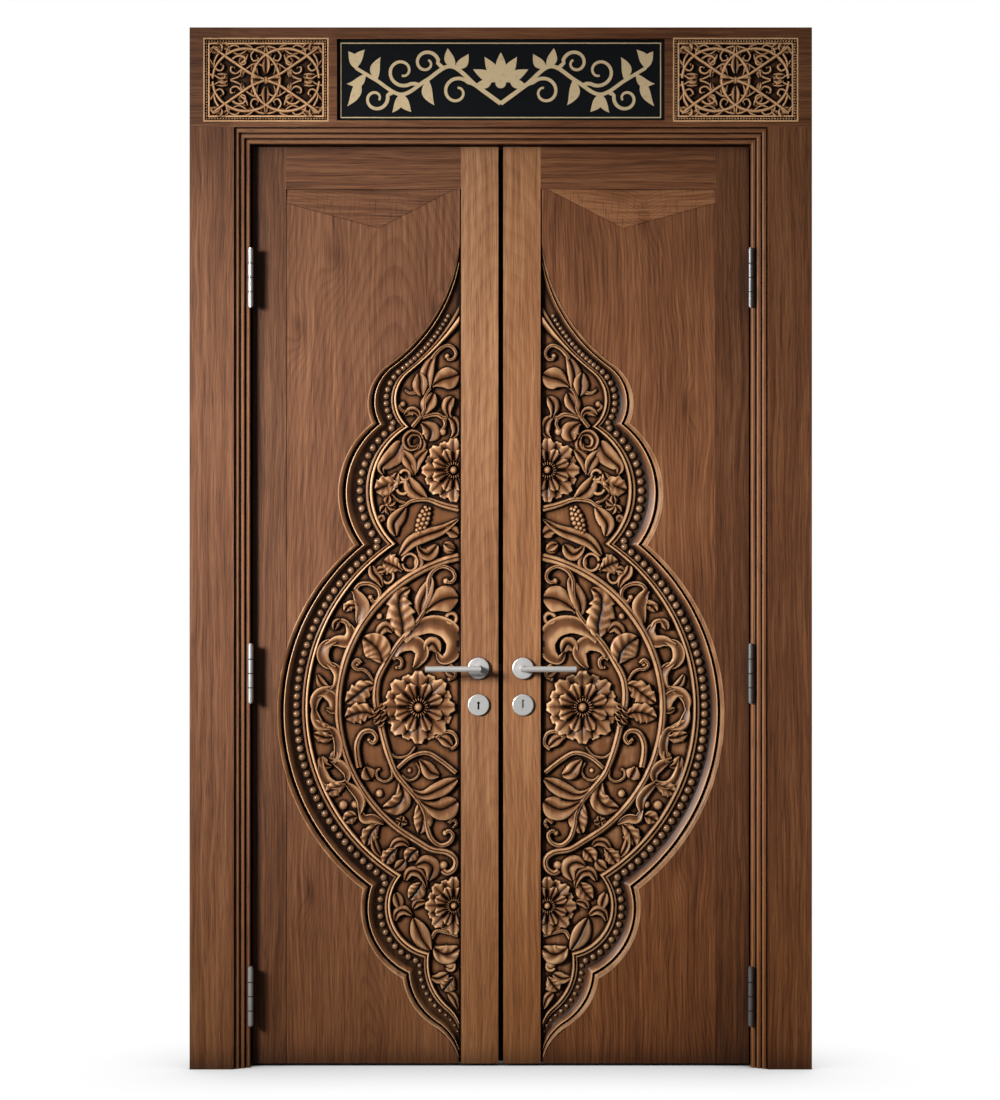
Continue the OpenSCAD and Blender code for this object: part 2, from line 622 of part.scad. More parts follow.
module gilt_fillet() {
  color(gilt) upright(0, lintel_floor - centre_t, lintel_mid)
    frame_strip(centre_panel_w - 16, centre_panel_h - 14, 2.5, 0, 1.5);
}

// A made-up vine of scrolls and leaves for the dark panel
module gilt_stem(p, c, r, a, turn) {
  flat_band(p, 4.6, 2.6, scroll(c, r, a, turn, 26));
}

module gilt_half() {
  flat_band([[0, -56], [60, -12], [120, 34], [180, 0], [240, -34], [300, 0], [350, 30]], 5.2, 4, [], 8);
  gilt_stem([[60, -12], [70, -7]], [106, -28], 36, 140, -400);
  gilt_stem([[140, 30], [152, 42]], [180, 42], 30, 165, -400);
  gilt_stem([[196, -12], [207, -8]], [238, 22], 37, -125, 400);
  gilt_stem([[262, -30], [270, -33]], [302, -44], 30, 165, 400);
  flat_leaf([350, 29], [368, 70], 24);
  flat_leaf([352, 29], [328, 74], 24, -0.12);
  flat_leaf([60, -12], [18, 10], 22, 0.15);
  flat_leaf([112, 31], [128, 78], 24, -0.1);
  flat_leaf([110, 30], [78, 64], 24, 0.12);
  flat_leaf([240, -33], [216, -76], 24, 0.1);
  flat_leaf([242, -33], [262, -78], 20, -0.1);
  flat_leaf([176, 2], [160, -60], 26, 0.15);
  flat_leaf([300, 0], [290, 56], 24, -0.15);
  flat_leaf([326, 16], [372, -8], 22, -0.2);
  flat_leaf([343, 4], [370, -62], 24, -0.1);
}

module gilt_scrollwork() {
  color(gilt) upright(0, lintel_floor - centre_t, lintel_mid) linear_extrude(1.5)
    scale([centre_panel_w / drawn_gilt[0], centre_panel_h / drawn_gilt[1]]) {
    for (a = [-1, 1]) scale([a, 1, 1]) gilt_half();
    for (a = [-64:32:64]) translate([0, -6]) rotate(a) flat_leaf([0, 9], [0, 74], 26, 0);
    translate([0, -6]) circle(13, $fn = 24);
  }
}

// Hinges: the leaf has the first and third knuckle from the top, the frame the others
function knuckle_low(z, k) = z + hinge_h / 2 - (k + 1) * knuckle_l;

module hinge_half(s, first, x0, x1) {
  color(steel) sided(s) for (z = hinge_zs) difference() {
    union() {
      block(x0, x1, pin_y + knuckle_r + 0.6, hinge_plate_y, z - hinge_h / 2, z + hinge_h / 2);
      for (k = [first, first + 2]) {
        rod_z(pin_x, pin_y, knuckle_r, knuckle_low(z, k) + knuckle_gap / 2, knuckle_low(z, k) + knuckle_l - knuckle_gap / 2);
        block(x0, x1, pin_y, pin_y + knuckle_r + 1, knuckle_low(z, k) + knuckle_gap / 2,
          knuckle_low(z, k) + knuckle_l - knuckle_gap / 2);
      }
    }
    rod_z(pin_x, pin_y, pin_r + pin_fit, z - hinge_h, z + hinge_h);
  }
}

module frame_hinges(s) {
  hinge_half(s, 1, jamb_x - hinge_plate_t, jamb_x);
}

module leaf_hinges(s) {
  hinge_half(s, 0, leaf_out, leaf_out + hinge_plate_t);
}

module hinge_pins(s) {
  color(steel) sided(s) for (z = hinge_zs) union() {
    rod_z(pin_x, pin_y, pin_r, z - hinge_h / 2 - 1, z + hinge_h / 2 + 1);
    rod_z(pin_x, pin_y, knuckle_r - 1.5, z + hinge_h / 2, z + hinge_h / 2 + 3);
    rod_z(pin_x, pin_y, knuckle_r - 1.5, z - hinge_h / 2 - 3, z - hinge_h / 2 + knuckle_gap / 2);
  }
}

module head_keep() {
  color(steel) difference() {
    block(flush_x - 11, flush_x + 35, -11, 11, opening_h - keep_t, opening_h);
    rod_z(flush_x, 0, flush_r + 1.5, opening_h - keep_t - 1, opening_h + 1);
  }
}

// Leaf boards
module pocket() {
  upright(stile_in, pocket_y) linear_extrude(pocket_d + 2) offset(delta = carve_fit)
    polygon(concat(border_line(0), [[-5, fitted(outer_foot)[1]], [-5, fitted(outer_tip)[1]]]));
}

module hinge_stile(s) {
  color(wood) sided(s) difference() {
    block(stile_out, leaf_out, leaf_front, -leaf_front, floor_gap, leaf_top);
    block(stile_out - 1, stile_out + tongue_l + joint_slack, tongue_y - joint_slack, tongue_y + tongue_t + joint_slack,
      floor_gap - 1, leaf_top - 20);
    pocket();
  }
}

module meeting_stile(s) {
  color(light_wood) sided(s) difference() {
    block(leaf_in, stile_in, leaf_front, -leaf_front, floor_gap, leaf_top);
    block(stile_in - tongue_l - joint_slack, stile_in + 1, tongue_y - joint_slack, tongue_y + tongue_t + joint_slack,
      floor_gap - 1, leaf_top - 20);
    rod_y(lever_x, lever_z, hub_r + 1, leaf_front - 1, 1 - leaf_front);
    if (s < 0) {
      block(leaf_in - 1, leaf_in + case_d + 0.2, -case_t / 2 - 0.1, case_t / 2 + 0.1, case_low - 0.2, case_high + 0.2);
      block(leaf_in - 1, leaf_in + forend_t, -forend_w / 2 - 0.1, forend_w / 2 + 0.1, case_low - 25.1, case_high + 25.1);
      block(leaf_in - 1, leaf_in + brush_seat, brush_y - brush_w / 2, brush_y + brush_w / 2, floor_gap - 1, leaf_top + 1);
      rod_y(lever_x, key_z + 5, key_r + 1, leaf_front - 1, 1 - leaf_front);
      block(lever_x - 3, lever_x + 3, leaf_front - 1, 1 - leaf_front, key_z - 12, key_z + 5);
    }
    else {
      block(leaf_in - 1, leaf_in + 2.5, -forend_w / 2 - 0.1, forend_w / 2 + 0.1, key_z - 40.1, lever_z + 40.1);
      block(leaf_in, leaf_in + 20, -latch_w / 2 - 1, latch_w / 2 + 1, key_z - dead_h / 2 - 1, key_z + dead_h / 2 + 1);
      block(leaf_in, leaf_in + 14, -latch_w / 2 - 1, latch_w / 2 + 1, lever_z - latch_h / 2 - 1, lever_z + latch_h / 2 + 1);
      flush_cut(leaf_top, 1);
      flush_cut(floor_gap, -1);
    }
  }
}

module top_rail(s) {
  color(wood) sided(s) difference() {
    union() {
      block(stile_in, stile_out, leaf_front, -leaf_front, rail_z, leaf_top);
      block(stile_in - tongue_l, stile_out + tongue_l, tongue_y, tongue_y + tongue_t, rail_z + 10, leaf_top - 21);
    }
    block(stile_in - 50, stile_out + 50, tongue_y - joint_slack, tongue_y + tongue_t + joint_slack,
      rail_z - 1, rail_z + tongue_l + joint_slack);
  }
}

// Two shallow facets that meet in a ridge below the top rail
facet_mid = [201, rail_z - 95];
facet_a = [stile_out - stile_in, rail_z - 34];
facet_b = [15, rail_z];
facet_top = [211, rail_z];
function line_depth(a, b, p) = let (v = (b - a) / norm(b - a), q = p - a) facet_slope * abs(v[0] * q[1] - v[1] * q[0]);

module facet(a, b, c, d) {
  low = [for (p = [a, b, c, d]) [p[0], p[1], -line_depth(a, b, p)]];
  high = [for (p = [a, b, c, d]) [p[0], p[1], 3]];
  upright(stile_in, panel_y) polyhedron(concat(low, high), [[0, 1, 2], [0, 2, 3], [4, 7, 6, 5], [0, 4, 5, 1],
    [1, 5, 6, 2], [2, 6, 7, 3], [3, 7, 4, 0]]);
}

module panel(s) {
  color(wood) sided(s) difference() {
    union() {
      block(stile_in, stile_out, panel_y, -panel_y, floor_gap, rail_z);
      block(stile_in - tongue_l, stile_out + tongue_l, tongue_y, tongue_y + tongue_t, floor_gap, rail_z + tongue_l);
    }
    pocket();
    block(stile_in - 1, stile_in + dark_line_w, panel_y - 1, pocket_y, floor_gap - 1, rail_z + 1);
    facet(facet_mid, facet_a, [stile_out - stile_in, rail_z], facet_top);
    facet(facet_b, facet_mid, facet_top, [40, rail_z]);
  }
}

module carving(s) {
  color(dark_wood) sided(s) upright(stile_in, pocket_y) medallion();
}

module beads(s) {
  color(light_wood) sided(s) upright(stile_in, pocket_y) bead_row();
}

// Handles
module rose(s, side) {
  color(steel) sided(s) translate([lever_x, side * leaf_t / 2, lever_z]) rotate([-90 * side, 0, 0]) rotate_extrude()
    polygon([[bar_r + 1 + neck_fit, 0], [rose_r, 0], [rose_r, rose_t - 2], [rose_r - 0.6, rose_t - 0.6],
      [rose_r - 2, rose_t], [bar_r + 1 + neck_fit, rose_t]]);
}

module keyhole(y0, y1) {
  rod_y(lever_x, key_z + 5, key_r, y0, y1);
  block(lever_x - 2, lever_x + 2, y0, y1, key_z - 11, key_z + 5);
}

module keyplate(s, side, blind) {
  face = side * (leaf_t / 2 + key_plate_t);
  color(steel) sided(s) difference() {
    translate([lever_x, side * leaf_t / 2, key_z]) rotate([-90 * side, 0, 0]) rotate_extrude()
      polygon([[0, 0], [rose_r, 0], [rose_r, key_plate_t - 2], [rose_r - 0.6, key_plate_t - 0.6],
        [rose_r - 2, key_plate_t], [0, key_plate_t]]);
    if (blind) keyhole(face - 0.8, face + 0.8);
    else keyhole(face - 20, face + 20);
  }
}

module lever(s, side) {
  out = leaf_t / 2 + lever_out;
  color(steel) sided(s) translate([lever_x, 0, lever_z]) scale([1, side, 1]) union() {
    difference() {
      rotate([-90, 0, 0]) translate([0, 0, leaf_t / 2]) cylinder(h = lever_out + bar_r, r = bar_r);
      translate([0, out, -20]) rotate(-45) translate([-40, 0, 0]) cube([80, 40, 40]);
    }
    difference() {
      translate([-bar_r, out, 0]) rotate([0, 90, 0]) cylinder(h = lever_l + bar_r, r = bar_r);
      translate([0, out, -20]) rotate(-45) translate([-40, -40, 0]) cube([80, 40, 40]);
    }
    rotate([-90, 0, 0]) translate([0, 0, leaf_t / 2]) cylinder(h = rose_t + 2, r = bar_r + 1);
  }
}

module spindle(s) {
  color(steel) sided(s) union() {
    block(lever_x - spindle_a / 2, lever_x + spindle_a / 2, leaf_front, -leaf_front, lever_z - spindle_a / 2,
      lever_z + spindle_a / 2);
    rod_y(lever_x, lever_z, hub_r, -case_t / 2, case_t / 2);
  }
}

// Lock in the left leaf
module lock_case() {
  color(steel) sided(-1) difference() {
    block(leaf_in + forend_t, leaf_in + case_d, -case_t / 2, case_t / 2, case_low, case_high);
    rod_y(lever_x, lever_z, hub_r + neck_fit, -case_t, case_t);
    block(leaf_in, latch_tail + latch_out + 2, -latch_w / 2 - slide_fit, latch_w / 2 + slide_fit,
      lever_z - latch_h / 2 - slide_fit, lever_z + latch_h / 2 + slide_fit);
    block(leaf_in, dead_tail + 1, -latch_w / 2 - slide_fit, latch_w / 2 + slide_fit,
      key_z - dead_h / 2 - slide_fit, key_z + dead_h / 2 + slide_fit);
    keyhole(-case_t, case_t);
  }
}

module lock_forend() {
  color(steel) sided(-1) difference() {
    block(leaf_in, leaf_in + forend_t, -forend_w / 2, forend_w / 2, case_low - 25, case_high + 25);
    block(leaf_in - 1, leaf_in + 20, -latch_w / 2 - slide_fit, latch_w / 2 + slide_fit,
      lever_z - latch_h / 2 - slide_fit, lever_z + latch_h / 2 + slide_fit);
    block(leaf_in - 1, leaf_in + 20, -latch_w / 2 - slide_fit, latch_w / 2 + slide_fit,
      key_z - dead_h / 2 - slide_fit, key_z + dead_h / 2 + slide_fit);
  }
}

module latch_bolt() {
  color(steel) sided(-1) difference() {
    block(leaf_in - latch_out, latch_tail, -latch_w / 2, latch_w / 2, lever_z - latch_h / 2, lever_z + latch_h / 2);
    translate([leaf_in - latch_out, -latch_w / 2 + 2, lever_z - latch_h]) rotate(-45) translate([-40, 0, 0])
      cube([40, 40, 2 * latch_h]);
  }
}

module dead_bolt() {
  color(steel) sided(-1) block(leaf_in + 0.5, dead_tail, -latch_w / 2, latch_w / 2, key_z - dead_h / 2, key_z + dead_h / 2);
}

module meeting_brush() {
  color(black) sided(-1) block(-leaf_in, leaf_in + brush_seat, brush_y - brush_w / 2, brush_y + brush_w / 2,
    floor_gap, leaf_top);
}

// Bolts and strike in the right leaf
module strike_plate() {
  color(steel) difference() {
    block(leaf_in, leaf_in + 2.5, -forend_w / 2, forend_w / 2, key_z - 40, lever_z + 40);
    block(leaf_in - 1, leaf_in + 20, -latch_w / 2 - 1, latch_w / 2 + 1, key_z - dead_h / 2 - 1, key_z + dead_h / 2 + 1);
    block(leaf_in - 1, leaf_in + 14, -latch_w / 2 - 1, latch_w / 2 + 1, lever_z - latch_h / 2 - 1, lever_z + latch_h / 2 + 1);
  }
}

// Lower end of a length that starts at the leaf edge e and runs inward
function inward(e, up, a, b) = up > 0 ? e - b : e + a;

module flush_block(e, up, a, b, x0, x1, w) {
  z = inward(e, up, a, b);
  block(x0, x1, -w / 2, w / 2, z, z + b - a);
}

module flush_cut(e, up) {
  z = inward(e, up, -1, flush_l + flush_throw + 2);
  rod_z(flush_x, 0, flush_r + neck_fit, z, z + flush_l + flush_throw + 3);
  flush_block(e, up, flush_l - 52, flush_l + 22, leaf_in - 1, flush_x, 6.4);
  flush_block(e, up, 59.9, flush_l + 50.1, leaf_in - 1, leaf_in + 2.5, forend_w + 0.2);
}

module flush_plate(e, up) {
  color(steel) difference() {
    flush_block(e, up, 60, flush_l + 50, leaf_in, leaf_in + 2.5, forend_w);
    flush_block(e, up, flush_l - 52, flush_l + 22, leaf_in - 1, flush_x, 6.4);
  }
}

module flush_bolt(e, up) {
  z = inward(e, up, 0.5, flush_l);
  color(steel) union() {
    rod_z(flush_x, 0, flush_r, z, z + flush_l - 0.5);
    flush_block(e, up, flush_l - 34, flush_l - 16, leaf_in + 0.5, flush_x, 6);
  }
}

casing(-1);  // left_casing
casing(1);  // right_casing
jamb(-1);  // left_jamb
jamb(1);  // right_jamb
head_jamb();
lintel_board();
lintel_carving(-1);  // left_lintel_carving
lintel_carving(1);  // right_lintel_carving
centre_panel();
gilt_fillet();
gilt_scrollwork();
frame_hinges(-1);  // left_frame_hinges
frame_hinges(1);  // right_frame_hinges
hinge_pins(-1);  // left_hinge_pins
hinge_pins(1);  // right_hinge_pins
head_keep();
hinge_stile(-1);  // left_hinge_stile
meeting_stile(-1);  // left_meeting_stile
top_rail(-1);  // left_top_rail
panel(-1);  // left_panel
carving(-1);  // left_carving
beads(-1);  // left_beads
leaf_hinges(-1);  // left_leaf_hinges
rose(-1, -1);  // left_front_rose
rose(-1, 1);  // left_back_rose
keyplate(-1, -1, false);  // left_front_keyplate
keyplate(-1, 1, false);  // left_back_keyplate
lock_case();
lock_forend();
meeting_brush();
lever(-1, -1);  // left_front_lever
lever(-1, 1);  // left_back_lever
spindle(-1);  // left_spindle
latch_bolt();
dead_bolt();
hinge_stile(1);  // right_hinge_stile
meeting_stile(1);  // right_meeting_stile
top_rail(1);  // right_top_rail
panel(1);  // right_panel
carving(1);  // right_carving
beads(1);  // right_beads
leaf_hinges(1);  // right_leaf_hinges
rose(1, -1);  // right_front_rose
rose(1, 1);  // right_back_rose
keyplate(1, -1, true);  // right_front_keyplate
keyplate(1, 1, true);  // right_back_keyplate
strike_plate();
flush_plate(leaf_top, 1);  // top_flush_plate
flush_plate(floor_gap, -1);  // bottom_flush_plate
lever(1, -1);  // right_front_lever
lever(1, 1);  // right_back_lever
spindle(1);  // right_spindle
flush_bolt(leaf_top, 1);  // top_flush_bolt
flush_bolt(floor_gap, -1);  // bottom_flush_bolt
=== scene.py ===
"""Dresses the carved double-leaf door: carved work, woods, metals, gilding and a plain studio."""

import math

import bmesh
import bpy
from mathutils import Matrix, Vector
from mathutils.kdtree import KDTree


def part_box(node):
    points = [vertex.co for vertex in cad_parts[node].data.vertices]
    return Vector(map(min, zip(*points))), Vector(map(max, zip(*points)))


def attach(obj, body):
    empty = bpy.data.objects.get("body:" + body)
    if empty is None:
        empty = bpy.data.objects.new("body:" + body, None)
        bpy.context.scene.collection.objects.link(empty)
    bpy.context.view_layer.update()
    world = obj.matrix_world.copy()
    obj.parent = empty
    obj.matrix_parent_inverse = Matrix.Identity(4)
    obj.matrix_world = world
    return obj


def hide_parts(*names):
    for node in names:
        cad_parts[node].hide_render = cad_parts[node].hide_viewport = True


bl_info = {
    "name": "Carved Double Door",
    "version": (1, 0, 0),
    "blender": (4, 5, 0),
    "location": "View3D > Sidebar > Door",
    "description": "Carved work, finishes and studio for a double-leaf door",
    "category": "Object",
}

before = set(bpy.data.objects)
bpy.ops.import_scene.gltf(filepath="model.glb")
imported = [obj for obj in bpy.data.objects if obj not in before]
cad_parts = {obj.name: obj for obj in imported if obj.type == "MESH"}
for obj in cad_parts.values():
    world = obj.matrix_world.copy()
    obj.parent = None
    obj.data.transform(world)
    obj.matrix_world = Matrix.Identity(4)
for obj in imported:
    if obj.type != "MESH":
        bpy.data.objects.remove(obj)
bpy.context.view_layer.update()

# Places that the finishes refer to, in metres
OPENING_HALF = 0.606
OPENING_TOP = 2.234
BAND_PITCH = 0.0125
STILE_EDGE = 0.0965
LEAF_FOOT = 0.006
HINGE_CENTRES = (0.174, 0.954, 1.91)
KNUCKLE = 0.0345
PIN = (0.604, -0.054)
BLIND_KEYHOLE = (0.054, 0.881)
LEVER_PLATE = (0.010, 0.0022, 0.026)
LEVER_STEP = Vector((0.0, 0.0032, 0.0006))


def tint(red, green, blue):
    """A display colour from 0 to 255 as linear light with alpha."""
    def linear(value):
        part = value / 255
        return part / 12.92 if part <= 0.04045 else ((part + 0.055) / 1.055) ** 2.4
    return (linear(red), linear(green), linear(blue), 1.0)


def scaled(colour, share):
    """A colour made darker or lighter, with full alpha."""
    return tuple(part * share for part in colour[:3]) + (1.0,)


def colour_property(name, description, colour):
    return bpy.props.FloatVectorProperty(
        name=name, description=description, subtype="COLOR", size=4, min=0.0, max=1.0, default=colour)


def number_property(name, description, default, unit="LENGTH"):
    return bpy.props.FloatProperty(name=name, description=description, default=default, unit=unit)


# Settings that a user would change
class DoorFinish(bpy.types.PropertyGroup):
    """Colours of the woods, the gilding and the metal."""
    walnut_dark: colour_property("Walnut dark", "Late wood of the boards", tint(62, 33, 17))
    walnut_mid: colour_property("Walnut middle", "Body of the boards", tint(109, 67, 42))
    walnut_light: colour_property("Walnut light", "Early wood of the boards", tint(142, 96, 65))
    stile_dark: colour_property("Stile dark", "Late wood of the meeting stiles", tint(108, 68, 42))
    stile_mid: colour_property("Stile middle", "Body of the meeting stiles", tint(146, 98, 65))
    stile_light: colour_property("Stile light", "Early wood of the meeting stiles", tint(178, 130, 92))
    # The carving's dark colour also serves as painted shade in the deeps, its light colour as painted
    # highlight on the crests
    carve_dark: colour_property("Carving dark", "Stain in the deeps of the carving", tint(22, 10, 5))
    carve_mid: colour_property("Carving middle", "Body of the carving", tint(120, 78, 49))
    carve_light: colour_property("Carving light", "Rubbed edges of the carving", tint(226, 177, 130))
    lacquer: colour_property("Lacquer", "Dark centre panel of the lintel", tint(8, 10, 13))
    gilding: colour_property("Gilding", "Vine and line on the centre panel", tint(226, 200, 156))
    metal: colour_property("Metal", "Satin steel of levers and hinges", tint(228, 227, 224))


class DoorCarving(bpy.types.PropertyGroup):
    """Sizes of the carved work, in metres."""
    stile_edge: number_property("Stile edge", "From the middle to the carving's straight side", STILE_EDGE)
    floor_y: number_property("Pocket floor", "Depth position of the pocket floor", -0.0025)
    ground: number_property("Ground", "Height of the ground over the pocket floor", 0.006)
    dark_line: number_property("Dark line", "Gap between the meeting stile and the carving", 0.0025)


class DoorStage(bpy.types.PropertyGroup):
    """Camera and light of the studio."""
    camera_y: number_property("Camera distance", "Depth position of the camera", -6.5675)
    camera_z: number_property("Camera height", "Height of the camera", 1.252)
    lens: number_property("Lens", "Focal length in millimetres", 88.27, "NONE")
    key_power: number_property("Key light", "Power of the key light", 29.5, "POWER")
    back_power: number_property("Back light", "Power of the light behind", 120.0, "POWER")
    sky: number_property("Sky", "Strength of the soft light all round", 0.115, "NONE")


# Shader maths as Python expressions
class Value:
    """An output socket that takes part in arithmetic."""

    def __init__(self, finish, socket):
        self.finish = finish
        self.socket = socket

    def math(self, operation, *terms):
        return self.finish.node("ShaderNodeMath", {"operation": operation}, dict(enumerate(terms)))

    def __add__(self, other):
        return self.math("ADD", self, other)

    def __sub__(self, other):
        return self.math("SUBTRACT", self, other)

    def __rsub__(self, other):
        return self.math("SUBTRACT", other, self)

    def __mul__(self, other):
        return self.math("MULTIPLY", self, other)

    def __truediv__(self, other):
        return self.math("DIVIDE", self, other)

    def __pow__(self, other):
        return self.math("POWER", self, other)

    def __rpow__(self, other):
        return self.math("POWER", other, self)

    def __abs__(self):
        return self.math("ABSOLUTE", self)

    def root(self):
        return self.math("SQRT", self)

    def fraction(self):
        return self.math("FRACT", self)

    def least(self, other):
        return self.math("MINIMUM", self, other)

    def most(self, other):
        return self.math("MAXIMUM", self, other)

    def within(self):
        return self.finish.node("ShaderNodeClamp", {}, {"Value": self})

    def over(self, low, high):
        """0 below low, 1 above high, smooth between."""
        return self.finish.node("ShaderNodeMapRange", {"interpolation_type": "SMOOTHSTEP"},
                                {"Value": self, "From Min": low, "From Max": high})

    __radd__ = __add__
    __rmul__ = __mul__


class Finish:
    """A node material or world that is put together piece by piece."""

    def __init__(self, name, store=None):
        store = bpy.data.materials if store is None else store
        self.block = store.new(name)
        self.block.use_nodes = True
        self.tree = self.block.node_tree
        self.tree.nodes.clear()

    def node(self, kind, settings, sockets, output=0):
        made = self.tree.nodes.new(kind)
        for key, setting in settings.items():
            if key == "stops":
                ramp = made.color_ramp
                while len(ramp.elements) < len(setting):
                    ramp.elements.new(1.0)
                for element, (place, colour) in zip(ramp.elements, setting):
                    element.position = place
                    element.color = colour
            else:
                setattr(made, key, setting)
        for key, value in sockets.items():
            if isinstance(value, Value):
                self.tree.links.new(value.socket, made.inputs[key])
            else:
                made.inputs[key].default_value = value
        return Value(self, made.outputs[output])

    def place(self):
        return self.node("ShaderNodeTexCoord", {}, {}, "Object")

    def axes(self):
        split = self.node("ShaderNodeSeparateXYZ", {}, {"Vector": self.place()})
        outs = split.socket.node.outputs
        return [Value(self, outs[axis]) for axis in ("X", "Y", "Z")]

    def noise(self, scale, detail=2.0, rough=0.5, vector=None):
        return self.node("ShaderNodeTexNoise", {}, {"Vector": vector or self.place(), "Scale": scale,
                                                    "Detail": detail, "Roughness": rough})

    def stretched(self, x, y, z, detail=2.0, rough=0.5):
        """Noise over three measures, each with its own scale."""
        spot = self.node("ShaderNodeCombineXYZ", {}, {"X": x, "Y": y, "Z": z})
        return self.noise(1.0, detail, rough, spot)

    def openness(self, samples, distance):
        """1 in the open, less in corners and deeps."""
        return self.node("ShaderNodeAmbientOcclusion", {"samples": samples}, {"Distance": distance}, "AO")

    def ramp(self, factor, stops):
        return self.node("ShaderNodeValToRGB", {"stops": stops}, {"Fac": factor})

    def blend(self, factor, first, second):
        """Mix two colours, which are inputs 6 and 7 of the node."""
        return self.node("ShaderNodeMix", {"data_type": "RGBA"}, {"Factor": factor, 6: first, 7: second}, 2)

    def attribute(self, name):
        return self.node("ShaderNodeAttribute", {"attribute_name": name}, {}, "Fac")

    def bump(self, height, strength, distance):
        return self.node("ShaderNodeBump", {}, {"Height": height, "Strength": strength, "Distance": distance})

    def surface(self, sockets):
        self.output(self.node("ShaderNodeBsdfPrincipled", {}, sockets))
        return self.block

    def output(self, shader, kind="ShaderNodeOutputMaterial"):
        end = self.tree.nodes.new(kind)
        self.tree.links.new(shader.socket, end.inputs["Surface"])


def board_grain(finish, along, shift, arches, knots):
    """Grain of a sawn board: rings, streaks, fine fibre, pores, slow cloud and knots, each 0 to 1."""
    x, y, z = finish.axes()
    across, run = (z, x) if along == "x" else (x, z)
    wave = finish.stretched(across * 2.2 + shift, y * 2.2, run * 0.8, 3.0) - 0.5
    curl = finish.stretched(across * 8.0 + shift, y * 8.0, run * 2.6) - 0.5
    offset = across + wave * 0.2 + curl * 0.03 + shift * 0.13
    tilt = run * 0.13 + wave * 0.06
    phase = (offset * offset + tilt * tilt).root() * arches + curl * 0.5
    eyes = 0.0
    for spot_x, spot_z, size in knots:
        near_x = (x - spot_x + curl * 0.02) / size
        near_z = (z - spot_z) / (size * 2.4)
        swell = 0.37 ** (near_x * near_x + near_z * near_z)
        phase = phase + swell * 3.2
        eyes = swell ** 5.0 + eyes
    band = phase.fraction()
    rings = band.over(0.35, 0.93) - band.over(0.93, 1.0)
    streak = finish.stretched(across * 100.0 + curl * 5.0, y * 100.0, run * 2.0 + shift, 5.0, 0.68)
    fibre = finish.stretched(across * 330.0 + curl * 6.0, y * 330.0, run * 8.0, 3.0, 0.65)
    pores = finish.stretched(across * 520.0 + curl * 8.0, y * 520.0, run * 17.0, 1.0)
    cloud = finish.stretched(across * 3.4 + shift, y * 3.0, run * 1.2, 3.0)
    return rings, streak, fibre, pores, cloud, eyes


def facing(y):
    """1 on the front of a leaf, 0 on its back."""
    return (0.0 - y).over(0.0, 0.002)


def facet_mask(finish, slopes):
    """1 over the facets under the top rail, and how near a place is to their edge, in metres."""
    x, y, z = finish.axes()
    (mid_x, mid_z), *ends = slopes
    first, second = [z - ((abs(x) - mid_x) * ((end_z - mid_z) / (end_x - mid_x)) + mid_z)
                     for end_x, end_z in ends]
    over = first.least(second)
    front = facing(y)
    return over.over(-0.0005, 0.0005) * front, abs(over) + (1.0 - front)


def panel_joint(finish):
    """The dark joint along the panel's edge, the painted highlight on the arris beside it, and 1 over the
    right half.
    """
    x, y, z = finish.axes()
    reach = abs(x)
    front = facing(y)
    joint = (1.0 - reach.over(0.0995, 0.1003)) * z.over(1.7, 1.72) * front
    # Painted highlight along the arris beside the joint
    arris = (reach.over(0.1, 0.1005) - reach.over(0.102, 0.1026)) * z.over(1.85, 1.95) * front
    return joint, arris, x.over(-0.1, 0.1)


def moulding_light_and_shade(finish):
    """Painted highlight on the rounded nose of each band and painted shade in the quirk beside it, mitred at
    the corners.
    """
    x, _, z = finish.axes()
    out = (abs(x) - OPENING_HALF).most(z - OPENING_TOP)
    step = (out / BAND_PITCH).fraction()
    nose = step.over(0.0, 0.1) - step.over(0.24, 0.42)
    return (nose * 0.45 + 0.22 - step.over(0.68, 0.74) * 0.7) * out.over(-0.0004, 0.0004)


def painted_light_falloff(finish):
    """Painted light and shade over the door, and its warmth: deeper and redder towards the foot and the
    right, the left casing lighter at its foot and darker at its top, the left meeting stile lighter high up,
    and a cooler colour towards the top left that stands in for sheen.
    """
    x, _, z = finish.axes()
    right = x.over(-0.1, 0.1)
    foot = 1.0 - z.over(0.0, 0.85)
    casing = 1.0 - x.over(-0.66, -0.64)
    deeper = right * 0.2 - x.over(0.58, 0.64) * 0.16 - 0.04
    middle = (1.0 - abs(x).over(STILE_EDGE, STILE_EDGE + 0.0005)) * (1.0 - right)
    stile = middle * (z.over(1.2, 1.7) - z.over(OPENING_TOP - 0.003, OPENING_TOP))
    shift = casing * (foot * 0.24 - z.over(1.85, 2.3) * 0.2) - foot * deeper + stile * 0.16
    return shift, (foot * 0.7 + right * 0.35 + 0.05).within()


# How much rings, streaks, fibre and cloud count in a board
BROAD = (0.13, 0.62, 0.7, 0.36)
STRAIGHT = (0.08, 0.66, 0.75, 0.3)
LIVELY = (0.16, 0.66, 0.72, 0.6)
# Casts of the walnut: the cool one stands in for painted sheen at the upper left, the warm one for the shaded
# foot and right
SHEEN_COOL, SHADE_WARM = (0.99, 1.03, 1.08), (1.05, 0.95, 0.7)


